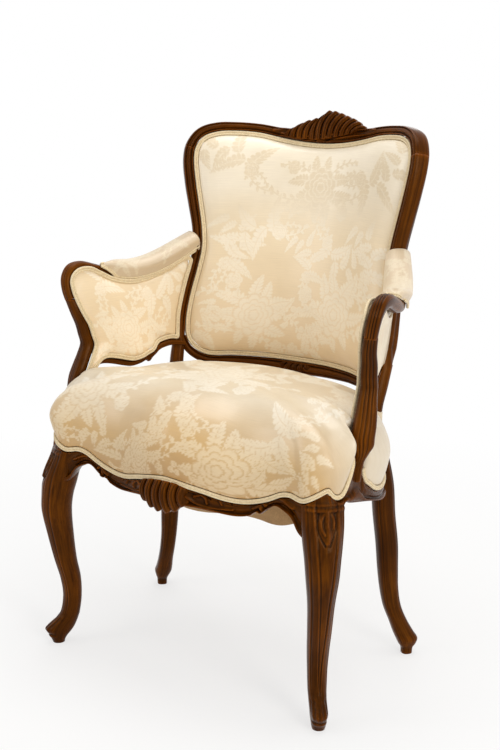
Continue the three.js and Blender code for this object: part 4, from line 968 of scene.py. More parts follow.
def bouquet(cx, cy, scale, turn):
    """A peony with its leaves, scrolls and berries about a centre."""
    leaves = (
        (200, 62, 0.5), (228, 52, -0.3), (255, 44, 0.2), (292, 50, -0.4), (330, 56, 0.5), (20, 50, -0.3),
        (155, 50, 0.4), (70, 38, 0.2), (112, 40, -0.2),
    )
    rows = [("leaf", *(28 * heading(angle)[:2]), size, angle, curl) for angle, size, curl in leaves]
    rows += [
        ("spray", 34, -20, 92, -28, 1.1), ("spray", -34, -16, 88, 205, -1.2),
        ("spray", -26, 28, 74, 130, 1.0), ("spray", 28, 26, 70, 48, -1.0),
        ("flower", 62, -52, 17, 20, 6), ("flower", -66, 44, 15, 50, 6),
    ]
    berries = ((84, 8), (92, 18), (80, 22), (-88, -30), (-78, -38), (-92, -42))
    rows += [("blob", dx, dy, 6, 0, 0) for dx, dy in berries]
    rows.append(("flower", 0, 0, 42, 10, 9))
    made = []
    for kind, dx, dy, size, angle, extra in rows:
        x, y, _ = np.array([cx, cy, 0]) + (dx * heading(turn) + dy * beside(heading(turn))) * scale
        made.append((kind, x, y, size * scale, angle + turn, extra))
    return made


def scrolls(cx, cy, scale, turn):
    """A plume of curled acanthus leaves along a bent stem, with a bud and a spray at its foot."""
    made = []
    px, py, way_on = cx, cy, np.radians(turn) - 0.7
    for step in range(6):
        way = 1 if step % 2 else -1
        made.append(("leaf", px, py, (64 - 5 * step) * scale, np.degrees(way_on + 0.62 * way), 0.7 * way))
        px += 22 * scale * np.cos(way_on)
        py += 22 * scale * np.sin(way_on)
        way_on += 0.36
    return made + [
        ("leaf", px, py, 44 * scale, np.degrees(way_on), 0.9),
        ("spray", cx, cy, 78 * scale, turn + 130, 1.3),
        ("spray", cx, cy, 60 * scale, turn - 150, -1.2),
        ("flower", cx - 8 * scale * np.cos(np.radians(turn)), cy, 17 * scale, turn, 6),
    ]


def laid_out(rows):
    """The motifs of a cloth, from rows of (what, x, y, scale, turn)."""
    return [motif for draw, *where in rows for motif in draw(*where)]


BACK_MOTIFS = laid_out([
    (scrolls, -140, 880, 0.9, 150), (scrolls, 128, 872, 0.95, 20), (scrolls, -160, 700, 0.8, 80),
    (scrolls, 165, 700, 0.8, 100), (bouquet, 18, 850, 0.95, 5), (scrolls, -70, 762, 0.95, 200),
    (scrolls, 60, 748, 0.85, -30), (bouquet, -95, 600, 1.0, 165), (bouquet, 95, 618, 1.05, 200),
    (scrolls, 0, 540, 0.8, 30), (scrolls, -190, 560, 0.6, 60), (scrolls, 10, 680, 0.7, 100),
])
SEAT_MOTIFS = laid_out([
    (bouquet, 0, 150, 1.25, 0), (bouquet, -215, 20, 1.0, 30), (bouquet, 120, -85, 1.1, 190),
    (bouquet, -70, -95, 0.8, 10), (scrolls, -150, 230, 1.0, 60), (scrolls, 190, 210, 1.0, 160),
    (scrolls, 215, 10, 1.0, 250), (scrolls, -20, 20, 0.9, 80), (scrolls, 20, -30, 0.9, 200),
    (scrolls, -140, -110, 0.7, 120), (scrolls, 245, -80, 0.8, 60), (bouquet, -250, 190, 0.8, 90),
    (bouquet, 250, 150, 0.8, 270), (scrolls, 0, 300, 1.0, 10), (scrolls, 30, -160, 0.7, 0),
    (scrolls, -250, -70, 0.8, 200),
])
ARM_MOTIFS = laid_out([
    (bouquet, 110, 590, 0.85, 20), (scrolls, 60, 670, 0.8, 100), (scrolls, 180, 650, 0.8, 10),
    (scrolls, 210, 575, 0.7, 250), (scrolls, 40, 560, 0.6, 60),
])
ARM_PAD_MOTIFS = laid_out([
    (scrolls, 40, 0, 0.6, 10), (scrolls, 110, 5, 0.6, 190), (scrolls, 170, 0, 0.6, 60),
])


# Upholstery
def seat_cushion():
    # From the edge to the crown: share of the plan, share of the height and bulge of the side
    rows = [
        (1, 0, 0), (1, 0.13, 0.6), (1, 0.3, 1), (0.985, 0.46, 0.7), (0.945, 0.62, 0.3),
        (0.86, 0.77, 0.1), (0.62, 0.93, 0), (0.3, 0.99, 0), (0.0, 1, 0),
    ]
    at = np.concatenate([np.linspace(0, 5, 70), np.linspace(5.04, 8, 75)])
    scale, rise, bulge = (table([(i, row[k]) for i, row in enumerate(rows)])(at)[:, None] for k in (0, 1, 2))
    scale[-1] = CLOSED
    # The cover turns in behind the arm supports
    wrap = smooth(RAIL_TOP + WRAP_FROM, RAIL_TOP + WRAP_FULL, cover_edge)
    push = SEAT_BULGE * bulge * (1 - wrap) - wrap * WRAP_DEEP * np.clip(1 - rise, 0, 1)
    rings = (outline + outward * push[..., None] - SEAT_CENTRE) * scale[..., None] + SEAT_CENTRE
    rings[..., 2] = mix(cover_edge, SEAT_CROWN, rise)
    # Cloth coordinate: plan place inside the edge, then the drop beyond it
    steps_down = np.linalg.norm(np.diff(rings, axis=0), axis=-1)
    from_top = np.concatenate([np.cumsum(steps_down[::-1], axis=0)[::-1], np.zeros((1, SEAT_COUNT))])
    plan = np.linalg.norm((rings - SEAT_CENTRE)[..., :2], axis=-1)
    extra = np.maximum(from_top - plan, 0)
    unrolled = rings + outward * extra[..., None]
    flow = cloth_flow(unrolled[..., 0], unrolled[..., 1], SEAT_MOTIFS)
    # Pulls of the cover over the front corners and along the lower edge
    along_edge = loop_shares(SEAT_COUNT) * TAU
    soft = smooth(0.0, 0.25, rise) * smooth(0.9, 0.4, rise)
    corner = bump(np.abs(rings[..., 0]), FRONT_HALF, 60) * (rings[..., 1] < 60)
    ripple = np.sin(along_edge * 47 + rise * 2.5) * 0.9 * corner + 0.1 * np.sin(along_edge * 83)
    rings = rings + outward * (ripple * soft)[..., None]
    # Underside: in under the skirt to the rails' wall, hidden
    raised = np.maximum(smooth(RAIL_TOP, RAIL_TOP + 20, cover_edge) * 4, wrap * WRAP_DEEP - 4)
    inner = np.stack([(outline - SEAT_CENTRE) * 0.02 + SEAT_CENTRE,
                      outline - outward * (SKIRT_THICK + raised)[:, None],
                      outline - outward * (SKIRT_THICK - 1 + raised)[:, None]])
    inner[:2, :, 2] = SEAT_UNDER
    inner[2, :, 2] = cover_edge
    rings = clear_of_frame(np.concatenate([inner, rings]))
    flow = np.concatenate([flow[:1], flow[:1], flow[:1], flow])
    piece = loft("seat_cushion", "cover", rings, flow)
    finish_with(piece, SEAT_CLOTH)
    line = outline + outward * (CORD_LIFT - wrap * WRAP_DEEP)[:, None]
    line[:, 2] = cover_edge
    line = line + unit(np.cross(closed_run(line), outward)) * (CORD_WIDE / 2 + CORD_LIFT)
    # The cord runs where it is clear of the posts
    clear = (frame_gap(line, 1) > 1.06) & (frame_gap(line, -1) > 1.06)
    order = (np.arange(SEAT_COUNT) + int(np.argmin(clear))) % SEAT_COUNT
    for part in np.split(order, np.where(np.diff(clear[order].astype(int)) != 0)[0] + 1):
        if not clear[part[0]] or len(part) < 8:
            continue
        x, y, _ = line[part].mean(axis=0)
        node = part_name("seat_side_cord", x)
        if y < 40 or y > 300:
            node = "seat_front_cord" if y < 40 else "seat_rear_cord"
        double_cord(node, line[part], outward[part], wide=CORD_WIDE - 0.8)


def frame_gap(places, side):
    """How far places are from the nearest post on one side, as a share of its section."""
    return np.minimum(*(off_post(place_at, places, side)[1] for place_at in (post_at, rear_at)))


def off_post(place_at, places, side):
    """Offset in plan of places from a post's middle, and its size as a share of the post's section."""
    middle, across, wide, deep = place_at(places[..., 2])
    away = (places - middle * np.array([side, 1, 1])) * np.array([1, 1, 0])
    flat = away * np.array([side, 1, 1])
    a = flat @ across / (wide + 1)
    b = flat @ beside(across) / (deep + 1)
    return away, (np.abs(a) ** POST_POWER + np.abs(b) ** POST_POWER) ** (1 / POST_POWER)


def clear_of_frame(rings):
    """Draws the cover in round the arm supports and the back posts."""
    for side in (1, -1):
        for place_at in (post_at, rear_at):
            away, gap = off_post(place_at, rings, side)
            rings = rings + away * (np.clip(1 / np.maximum(gap, 0.05), 1, 4) - 1)[..., None]
    return rings


def post_at(z):
    """Middle of an arm support at a height, the direction of its section and its half sizes."""
    rise = (z - ARM_FOOT_Z) / (ARM_JOINT_Z - ARM_FOOT_Z)
    out, back, wide, deep = (table(ARM_POST, k)(rise) for k in (1, 2, 3, 4))
    centre = np.stack([ARM_POST_X * out, ARM_POST_Y + ARM_POST_SWEEP * back, z], axis=-1)
    return centre, POST_ACROSS, POST_HALF * wide, POST_HALF * deep


def rear_at(z):
    """The same for the leg of a back post."""
    in_x, in_y, wide, deep = (table(BACK_POST, k)(z / NECK_TOP) for k in (1, 2, 3, 4))
    centre = np.stack([REAR_LEG[0] - in_x * REAR_SWEEP[0], REAR_LEG[1] - in_y * REAR_SWEEP[1], z], axis=-1)
    return centre, heading(POST_TURN), POST_HALF * wide, POST_HALF * deep


def back_rings(depths, scales, count):
    """Rings of a field of the back, each at a depth behind the show face."""
    edge, out, _ = back_station(loop_shares(count))
    rim = edge - out * (CORD_WIDE + CORD_ROOM)
    scales = scales[:, None]
    x = rim[:, 0] * scales
    z = mix(BACK_BASE + BACK_RISE * FIELD_MIDDLE, rim[:, 2], scales)
    return back_point(x, z) + back_normal(x) * depths[:, None, None], x, z


def back_field():
    inward = np.concatenate([np.linspace(0, 0.12, 24), np.linspace(0.13, 1, 130)])
    crown = table([
        (0, 0), (0.02, 0.22), (0.06, 0.48), (0.14, 0.75), (0.28, 0.92), (0.55, 0.985), (1, 1),
    ])(inward)
    rings, x, z = back_rings(-BACK_CROWN * crown, np.maximum(1 - inward, 0.002), BACK_COUNT)
    flow = cloth_flow(x, z, BACK_MOTIFS)
    # Gentle unevenness of hand-laid stuffing, and small pulls next to the piping
    inward = inward[:, None]
    back = back_station(loop_shares(BACK_COUNT))[2].mean(axis=0)
    pulls = np.sin(loop_shares(BACK_COUNT) * TAU * 61) * 0.05 * bump(inward, 0.05, 0.05)
    soft = 0.8 * np.sin(x / 61 + 0.5) * np.sin(z / 47) * smooth(0.05, 0.4, inward)
    rear = back_rings(np.array([6.5, 6.5]), np.array([0.002, 1.0]), BACK_COUNT)[0]
    rings = np.concatenate([rear, rings - back * (pulls + soft)[..., None]])
    piece = loft("back_pad", "cover", rings, np.concatenate([flow[:1], flow[:1], flow]))
    finish_with(piece, BACK_CLOTH)
    edge, out, back = back_station(loop_shares(CORD_COUNT))
    line = edge - out * (CORD_WIDE / 2 + CORD_LIFT)
    double_cord("back_cord", line + back * 1.5, -back, closed=True)
    # The outside back: a flat cover with its own piping
    dense = np.concatenate([np.linspace(0, 1, 2), np.linspace(2, 3.02, 8), np.linspace(3.04, 4, 130)])
    depths, scales = (np.interp(dense, range(5), row)
                      for row in ((21.5, 21.5, 25.4, 26.2, 26.2), (0.002, 1.0, 1.0, 0.96, 0.002)))
    rings, x, z = back_rings(depths, scales, 560)
    piece = loft("outside_back", "cover", rings, cloth_flow(x, z, BACK_MOTIFS, 3))
    finish_with(piece, BACK_CLOTH)
    double_cord("outside_back_cord", line + back * 24.5, back, closed=True)


# Arm panels
PANEL_TOP = table([(y, z) for _, y, z, _, _ in ARM_RAIL[3:]])


def resample(at, known, points, z):
    """Points read off between known ones, with their heights replaced."""
    x, y = (np.interp(at, known, points[:, k]) for k in (0, 1))
    return np.stack([x, y, z], axis=-1)


def panel_front(z):
    z = np.asarray(z, float)
    # The curve's own parameter runs evenly over its points, and 0.18 of it is reached at the scroll
    spread = 0.18 * np.clip((z - ARM_JOINT_Z) / (ARM_RISE * 0.365), 0, 1) * (len(ARM_RAIL) - 1)
    dense = arm_curve[0]
    high = resample(spread * CURVE_STEPS, np.arange(len(dense)), dense, z)
    return np.where((z < ARM_JOINT_Z)[..., None], post_at(z)[0], high)


rear_heights = np.linspace(BACK_BASE + STILE_FACE, 900, 400)
rear_edge, rear_out, rear_back = back_station(share_at_height(rear_heights))
rear_places = rear_edge + rear_out * STILE_FACE * 0.4 + rear_back * STILE_DEEP * 0.4


def panel_rear(z):
    z = np.asarray(z, float)
    return resample(z, rear_heights, rear_places, z)


def panel_place(share, z, offset):
    share, z, offset = np.broadcast_arrays(share, z, offset)
    place = mix(panel_front(z), panel_rear(z), share[..., None])
    top = np.clip((z - ARM_JOINT_Z * 0.8) / (ARM_JOINT_Z * 0.25), 0, 1)
    bow = PANEL_BOW * np.sin(np.pi * np.clip(share, 0, 1)) * top**1.6
    return place + SIDEWAYS * (bow - PANEL_SHIFT + offset)[..., None]


def arm_share_of(place):
    return (place[..., 1] - ARM_FRONT_Y) / ARM_RUN


TOP_START = arm_share_of(panel_front(ARM_JOINT_Z + ARM_RISE * 0.5))
TOP_END = arm_share_of(panel_rear(ARM_JOINT_Z + ARM_RISE * 0.6))


def panel_high(share):
    return ARM_JOINT_Z + ARM_RISE * PANEL_TOP(mix(TOP_START, TOP_END, share))


def panel_span(z):
    return np.linalg.norm(panel_front(z) - panel_rear(z), axis=-1)


def inner_face(z):
    """How far the support stands inward of its middle."""
    _, across, wide, deep = post_at(z)
    wide = wide * abs(across @ SIDEWAYS)
    deep = deep * abs(beside(across) @ SIDEWAYS)
    at_rail = smooth(ARM_JOINT_Z - 45, ARM_JOINT_Z + 15, z)
    return mix((wide**1.67 + deep**1.67) ** 0.6, ARM_HALF_WIDE, at_rail)


# Lower edge of the covers: the front end runs down along the support to the seat
PANEL_LOW = table([
    (0, 496), (0.04, 496), (0.06, 500), (0.075, 513), (0.095, 527), (0.125, 535), (0.17, 538),
    (0.22, 537), (0.3, 533), (0.38, 528), (0.45, 525), (0.53, 528), (0.585, 534), (0.62, 536),
    (0.655, 541), (0.69, 549), (0.75, 553), (0.83, 555), (0.92, 553), (1, 548),
])
# How far the covers stay below the middle of the arm rail
PANEL_DROP = table([(0, -5), (0.12, -5), (0.22, -1), (0.34, 3.5), (0.5, 5), (1, 5)])
# How far the covers reach past the middle of the support on its inner side, by height
FACE_REACH = table([(490, 4), (560, 5), (610, 4), (640, 1), (665, -2), (700, -3), (760, -4)])


def panel_curve(inset, rear_reach, top_drop, tail):
    """Closed outline of a field of the panel; x is the way back and z the height."""
    def front_share(z):
        return (FACE_REACH(z) + inset) / panel_span(z)

    def rear_share(z):
        return 1 - (rear_reach + inset) / panel_span(z)

    def low(share):
        return PANEL_LOW(share if tail else np.maximum(share, 0.14)) + inset

    def high(share):
        return panel_high(share) - PANEL_DROP(share) - top_drop - inset

    def steps(start, end, count):
        return mix(start, end, (np.arange(count) + 0.5) / count)

    low_front, low_rear, high_front, high_rear = low(0.0), low(1.0), high(0.0), high(1.0)
    places = [(share, low(share)) for share in steps(front_share(low_front), rear_share(low_rear), 26)]
    places += [(rear_share(z), z) for z in steps(low_rear, high_rear, 5)]
    places += [(share, high(share)) for share in steps(rear_share(high_rear), front_share(high_front), 10)]
    places += [(front_share(z), z) for z in steps(high_front, low_front, 9)]
    return catmull([(float(share) * ARM_RUN, 0, float(z)) for share, z in places], True)


def panel_rings(sizes, offsets, scales, count, body, on_face=False):
    """Rings of the panel; body says how far each has left the outline with the tail for the one without."""
    middle = np.array([ARM_RUN * 0.5, 0, mix(RAIL_TOP * 1.2, ARM_JOINT_Z, 0.55)])
    with_tail, without = (along(panel_curve(*sizes, tail), loop_shares(count)) for tail in (True, False))
    loop = mix(with_tail, without, body[:, None, None])
    at = (loop - middle) * scales[:, None, None] + middle
    x, z = at[..., 0], at[..., 2]
    share = x / ARM_RUN
    offset = np.broadcast_to(offsets[:, None], x.shape)
    if on_face:
        # On the support's inner face at the front, and nearer the middle line at the rear
        face = (inner_face(z) - ARM_HALF_WIDE) * smooth(0.3, 0.08, share)
        offset = offset - face + 9 * smooth(0.35, 1, share)
    return panel_place(share, z, offset), x, z


def panel_cover(kind, side, *measures):
    """A cover of the panel in the damask; the measures are those of its rings."""
    rings, x, z = panel_rings(*measures)
    piece = loft(part_name(kind, side), "cover", rings, cloth_flow(x, z, ARM_MOTIFS, 4), side)
    finish_with(piece, BACK_CLOTH)
    return piece


def arm_panels(side):
    inward = np.concatenate([np.linspace(0, 0.2, 30), np.linspace(0.212, 1, 80)])
    crown = table([(0, 0), (0.05, 0.3), (0.12, 0.6), (0.25, 0.85), (0.45, 1), (1, 1.05)])(inward)
    # Behind, the cover closes on the wood; in front it is crowned, all in from the middle of the frame
    offsets = np.concatenate([[-1, -1], -9.6 - PANEL_CROWN * crown])
    scales = np.concatenate([[CLOSED, 0.97], np.maximum(1 - inward, CLOSED)])
    body = np.concatenate([[1, 0], smooth(0, 0.14, inward)])
    piece = panel_cover("inside_arm_panel", side, (CORD_WIDE - 0.8, 10, 0), offsets, scales, 300, body, True)
    one = np.ones(1)
    loop = panel_rings((CORD_WIDE / 2, 10, 0), -11.4 * one, one, CORD_COUNT, 0 * one, True)[0][0]
    double_cord(part_name("inside_arm_cord", side), loop, -SIDEWAYS, side, closed=True)
    inward = np.linspace(0, 1, 40)
    offsets = np.concatenate([[1, 1], 5 + 1.2 * inward])
    scales = np.concatenate([[CLOSED, 1], np.maximum(1 - inward, CLOSED)])
    piece = panel_cover("outside_arm_panel", side, (9, 20, 7), offsets, scales, 240, np.ones(42))
    panel_rail(side)


def panel_rail(side):
    """The scalloped rail under the panel, with a moulded underside and a small bud."""
    share = np.linspace(0.075, 0.965, 150)[:, None]
    a, b = chaikin([
        (-1, 1), (-1.02, 0.6), (-0.9, 0.2), (-0.55, 0.02), (-0.45, 0.14), (-0.2, 0), (0.2, 0),
        (0.45, 0.14), (0.55, 0.02), (0.9, 0.2), (1.02, 0.6), (1, 1), (0.6, 1), (0.34, 1.05), (0.34, 1.8),
        (-0.34, 1.8), (-0.34, 1.05), (-0.6, 1),
    ]).T
    rings = panel_place(share, PANEL_LOW(share) - 12 + b * 9, a * 8)
    # The bud hangs from the peak of the scallop
    rings[..., 2] -= 7 * bump(share, 0.607, 0.02) * smooth(0.5, -0.1, b)
    flow = grain(rings, rings.mean(axis=1), SIDEWAYS, UP)
    return loft(part_name("arm_panel_rail", side), "shape", rings, flow, side)


def dust_cover():
    """The lining under the seat, which sags between the rails."""
    inward = np.linspace(0, 1, 60)[:, None]
    drop = table([(0, 0), (0.08, 0.12), (0.2, 0.58), (0.5, 0.95), (1, 1)])(inward)
    scales = np.maximum(1 - inward, CLOSED)
    under = (outline - outward * DUST_INSET - SEAT_CENTRE) * scales[..., None] + SEAT_CENTRE
    wave = 2.5 * np.sin(under[..., 0] / 47) * np.sin(under[..., 1] / 61)
    under[..., 2] = DUST_EDGE + (wave - DUST_SAG) * drop
    rings = np.concatenate([under[::-1], under + UP * LINING_THICK])
    piece = loft("dust_cover", "cloth", rings, in_plan(rings[..., 0], rings[..., 1]) * MM)
    finish_with(piece, LINEN)
    return piece


# Materials
def node_tree(name, roughness=0.5):
    material = bpy.data.materials.new(name)
    material.use_nodes = True
    tree = material.node_tree
    shader = tree.nodes["Principled BSDF"]
    shader.inputs["Roughness"].default_value = roughness
    return material, tree, shader


def plug(tree, node, **values):
    """Gives the named inputs of a node a constant or another node's output; underscores are spaces."""
    for key, value in values.items():
        socket = node.inputs[key.replace("_", " ")]
        if isinstance(value, bpy.types.NodeSocket):
            tree.links.new(value, socket)
        else:
            socket.default_value = (*value, 1) if socket.type == "RGBA" else value


def add(tree, kind, **inputs):
    """Adds a node with its inputs."""
    made = tree.nodes.new(kind)
    plug(tree, made, **inputs)
    return made


def ramp(tree, source, stops):
    made = add(tree, "ShaderNodeValToRGB", Fac=source)
    elements = made.color_ramp.elements
    while len(elements) < len(stops):
        elements.new(0.5)
    for element, (at, colour) in zip(elements, stops):
        element.position = at
        element.color = (*colour, 1)
    return made.outputs["Color"]


def maths(tree, operation, *values):
    made = tree.nodes.new("ShaderNodeMath")
    made.operation = operation
    for socket, value in zip(made.inputs, values):
        if isinstance(value, float):
            socket.default_value = value
        else:
            tree.links.new(value, socket)
    return made.outputs[0]


def flow_vector(tree):
    made = tree.nodes.new("ShaderNodeAttribute")
    made.attribute_name = "flow"
    return made.outputs["Vector"]


def stretch(tree, vector, *scale):
    return add(tree, "ShaderNodeMapping", Vector=vector, Scale=scale).outputs["Vector"]


def noise(tree, vector, scale, detail=3.0, distortion=0.0, roughness=0.55):
    made = add(tree, "ShaderNodeTexNoise", Vector=vector, Scale=scale, Detail=detail, Distortion=distortion,
               Roughness=roughness)
    return made.outputs["Fac"]


def blend(tree, fac, a, b, kind="MIX"):
    made = tree.nodes.new("ShaderNodeMix")
    made.data_type = "RGBA"
    made.blend_type = kind
    plug(tree, made, Factor=fac)
    tree.links.new(a, made.inputs[6])
    tree.links.new(b, made.inputs[7])
    return made.outputs[2]


def toned(tree, colour, source, stops):
    """A colour multiplied by a ramp over a source."""
    return blend(tree, 1.0, colour, ramp(tree, source, stops), "MULTIPLY")


def bump_normal(tree, height, strength, distance):
    return add(tree, "ShaderNodeBump", Height=height, Strength=strength, Distance=distance).outputs["Normal"]


def wood():
    """Old waxed walnut: dark streaks along the grain, open pores, amber where the polish is worn."""
    material, tree, shader = node_tree("walnut")
    flow = flow_vector(tree)
    streaks = noise(tree, stretch(tree, flow, 4.0, 75.0, 75.0), 1.3, 7.0, 0.9, 0.68)
    pores = noise(tree, stretch(tree, flow, 9.0, 420.0, 420.0), 1.0, 3.0, 0.2, 0.6)
    cloud = noise(tree, flow, 9.0)
    colour = ramp(tree, streaks, [
        (0.28, (0.036, 0.0088, 0.0003)), (0.48, (0.065, 0.018, 0.0006)), (0.62, (0.096, 0.0285, 0.001)),
        (0.8, (0.14, 0.047, 0.002)),
    ])
    colour = toned(tree, colour, cloud, [(0.3, (0.6, 0.54, 0.5)), (0.7, (1.25, 1.2, 1.1))])
    colour = toned(tree, colour, pores, [(0.36, (0.7, 0.68, 0.66)), (0.5, (1, 1, 1))])
    # Lighter on ridges where the polish is worn; darker in the hollows, partly dark wax and partly painted
    # shade that brings out the carving
    edges = tree.nodes.new("ShaderNodeNewGeometry").outputs["Pointiness"]
    colour = toned(tree, colour, edges, [
        (0.45, (0.14, 0.12, 0.12)), (0.497, (1, 1, 1)), (0.55, (2.1, 2.0, 1.8)),
    ])
    plug(tree, shader, Base_Color=colour, Roughness=maths(tree, "MULTIPLY_ADD", cloud, 0.2, 0.15),
         Specular_IOR_Level=0.11, Specular_Tint=(1.0, 0.66, 0.38),
         Normal=bump_normal(tree, pores, 0.25, 0.0006))
    return material


def cloth(name, shift, ground_painted_light_stops, figure_painted_light_stops):
    """Satin damask: a glossy ground with a matter figure, both finely woven.

    The satin shines where the photograph's light grazes it, so both tones change along the cloth.
    """
    material, tree, shader = node_tree(name)
    flow = flow_vector(tree)
    split = add(tree, "ShaderNodeSeparateXYZ", Vector=flow).outputs
    motif = split["Z"]
    # Painted light: both tones follow ramps along the cloth, painted sheen and painted shade standing in for
    # how the light falls on the satin
    at = maths(tree, "ADD", split["Y"], shift)
    flat = stretch(tree, flow, 1.0, 1.0, 0.0)
    threads = noise(tree, stretch(tree, flow, 25.0, 900.0, 0.0), 1.0)
    colour = blend(tree, motif, ramp(tree, at, ground_painted_light_stops), ramp(tree, at, figure_painted_light_stops))
    colour = toned(tree, colour, threads, [(0.3, (0.95, 0.945, 0.94)), (0.7, (1.03, 1.03, 1.02))])
    broad = noise(tree, flat, 9.0)
    colour = toned(tree, colour, broad, [(0.3, (0.94, 0.92, 0.88)), (0.7, (1.03, 1.03, 1.03))])
    weave = add(tree, "ShaderNodeTexWave", Vector=flat, Scale=420.0, Distortion=0.4).outputs["Fac"]
    height = maths(tree, "MULTIPLY_ADD", motif, 0.6, maths(tree, "MULTIPLY", weave, 0.12))
    height = maths(tree, "MULTIPLY_ADD", threads, 0.2, height)
    plug(tree, shader, Base_Color=colour, Roughness=maths(tree, "MULTIPLY_ADD", motif, 0.22, 0.32),
         Sheen_Weight=0.25, Sheen_Roughness=0.4, Sheen_Tint=(1.0, 0.93, 0.8), Specular_IOR_Level=0.75,
         Normal=bump_normal(tree, height, 0.35, 0.0004))
    return material


def piping_cloth():
    material, tree, shader = node_tree("piping", 0.55)
    threads = noise(tree, stretch(tree, flow_vector(tree), 900.0, 300.0, 300.0), 1.0)
    colour = ramp(tree, threads, [(0.3, (0.62, 0.48, 0.28)), (0.7, (0.84, 0.71, 0.47))])
    plug(tree, shader, Base_Color=colour, Sheen_Weight=0.2, Sheen_Roughness=0.4,
         Normal=bump_normal(tree, threads, 0.4, 0.0003))
    return material


def plain_cloth(name, dark, light, scale=700.0):
    """A plain woven cloth or webbing."""
    material, tree, shader = node_tree(name, 0.85)
    place = tree.nodes.new("ShaderNodeTexCoord").outputs["Object"]
    threads = noise(tree, place, scale, 2.0)
    colour = ramp(tree, noise(tree, place, 12.0), [(0.3, dark), (0.7, light)])
    colour = toned(tree, colour, threads, [(0.35, (0.75, 0.74, 0.72)), (0.6, (1.05, 1.05, 1.05))])
    plug(tree, shader, Base_Color=colour, Normal=bump_normal(tree, threads, 0.4, 0.0005))
    return material


def spring_steel():
    material, tree, shader = node_tree("spring_steel", 0.4)
    tarnish = noise(tree, tree.nodes.new("ShaderNodeTexCoord").outputs["Object"], 90.0)
    colour = ramp(tree, tarnish, [(0.3, (0.2, 0.17, 0.14)), (0.7, (0.5, 0.48, 0.45))])
    plug(tree, shader, Base_Color=colour, Metallic=0.9)
    return material


def white_to_camera(tree, lit, white, output, share=None):
    """White for the rays that the camera, mirrors and glass send, and the lit surface for all others."""
    path = tree.nodes.new("ShaderNodeLightPath").outputs
    seen = maths(tree, "MAXIMUM", path["Is Camera Ray"], path["Is Glossy Ray"])
    seen = maths(tree, "MAXIMUM", seen, path["Is Transmission Ray"])
    if share:
        seen = maths(tree, "MULTIPLY", seen, share)
    choose = add(tree, "ShaderNodeMixShader", Fac=seen)
    tree.links.new(lit.outputs[0], choose.inputs[1])
    tree.links.new(white.outputs[0], choose.inputs[2])
    tree.links.new(choose.outputs[0], tree.nodes[output].inputs["Surface"])


def finish_with(piece, material):
    piece.data.materials.clear()
    piece.data.materials.append(material)


WALNUT = wood()
# Painted light on the seat: darker golden tones down the front of the cover as painted shade, paler ones
# over the top as painted sheen
SEAT_CLOTH = cloth("seat_damask", 0.5, [
    (0.37, (0.52, 0.3, 0.1)), (0.45, (0.61, 0.4, 0.17)), (0.56, (0.72, 0.62, 0.47)),
    (0.9, (0.7, 0.58, 0.41)),
], [
    (0.37, (0.7, 0.52, 0.3)), (0.45, (0.75, 0.59, 0.37)), (0.56, (0.82, 0.76, 0.65)),
    (0.9, (0.8, 0.73, 0.59)),
])
# Painted light on the back, arm panels and pads: the ground turns paler and the figure darker higher up, as
# painted sheen and shade
BACK_CLOTH = cloth("back_damask", 0.0, [
    (0.1, (0.66, 0.53, 0.37)), (0.45, (0.86, 0.66, 0.41)), (0.76, (0.84, 0.7, 0.49)),
    (0.85, (0.88, 0.79, 0.64)),
], [
    (0.1, (0.73, 0.63, 0.47)), (0.45, (0.91, 0.78, 0.57)), (0.76, (0.92, 0.83, 0.68)),
    (0.85, (0.77, 0.65, 0.47)),
])
PIPING = piping_cloth()
LINEN = plain_cloth("linen", (0.36, 0.2, 0.075), (0.5, 0.3, 0.13))
JUTE = plain_cloth("jute", (0.3, 0.2, 0.1), (0.5, 0.37, 0.2), 300.0)
BEECH = plain_cloth("beech", (0.36, 0.22, 0.11), (0.5, 0.34, 0.18), 200.0)
STEEL = spring_steel()

# The armchair
for side in (1, -1):
    front_leg(side)
    back_post(side)
    arm_post(side)
    arm_rail(side)
seat_rails()
joint = JOIN_SHARE + JOINT_GAP
frame_run("crest_rail", joint, 1 - joint, 330, crest_carving)
end = share_at_height(BACK_BASE + LOWER_RAIL_RISE)
frame_run("back_lower_rail", -end, end, 220)
for side in (1, -1):
    pad = arm_pad(side)
    finish_with(pad, BACK_CLOTH)
    arm_panels(side)
seat_cushion()
back_field()
dust_cover()

# Carved fans: the crest, the shell of the front rail and the flower under the back
face_up = unit(back_point(0, 1000.0) - back_point(0, 946.0))
face_front = np.cross([1.0, 0, 0], face_up)
fan_patch("crest_carving", [(-86, 949), (-50, 944), (-12, 942), (24, 948), (70, 958)], [
    (-72, 962), (-58, 969), (-44, 977), (-28, 982), (-11, 987), (-3, 995), (8, 999), (20, 997),
    (32, 994), (54, 987), (70, 982), (82, 976), (98, 967),
], 12, 12, 8, on_back, 0.1)
fan_patch("rail_shell", [(-52, 386), (-26, 392), (0, 394), (26, 392), (46, 384)], [
    (-58, 349), (-44, 345), (-32, 339), (-18, 335), (-4, 336), (8, 336), (22, 341), (34, 350), (45, 358),
], 6, 13, 6, on_rail, 0.3)
fan_patch("back_rail_flower", [(x, BACK_BASE - drop) for x, drop in ((-30, 3), (0, 5), (30, 3))],
          [(x, BACK_BASE - drop) for x, drop in ((-38, 9), (-20, 19), (0, 24), (20, 19), (38, 9))],
          5, 9, 6, under_back, 0.5)

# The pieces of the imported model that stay: springs, corner blocks, and webbing and canvas in jute
STAYING = (("spring", STEEL), ("block", BEECH))
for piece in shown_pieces():
    if piece.name not in made_pieces:
        stays = next((what for word, what in STAYING if word in piece.name), JUTE)
        piece.data.materials.clear()
        piece.data.materials.append(stays)

# Stage: a white floor that keeps soft shadows, and a white world behind it
floor_mesh = bpy.data.meshes.new("floor")
corners = [(x * FLOOR_HALF, y * FLOOR_HALF, 0) for x, y in ((-1, -1), (1, -1), (1, 1), (-1, 1))]
floor_mesh.from_pydata(corners, [], [(0, 1, 2, 3)])
floor = bpy.data.objects.new("floor", floor_mesh)
bpy.context.scene.collection.objects.link(floor)
paper, tree, shader = node_tree("floor", 0.9)
plug(tree, shader, Base_Color=(0.88, 0.88, 0.88), Specular_IOR_Level=0.0)
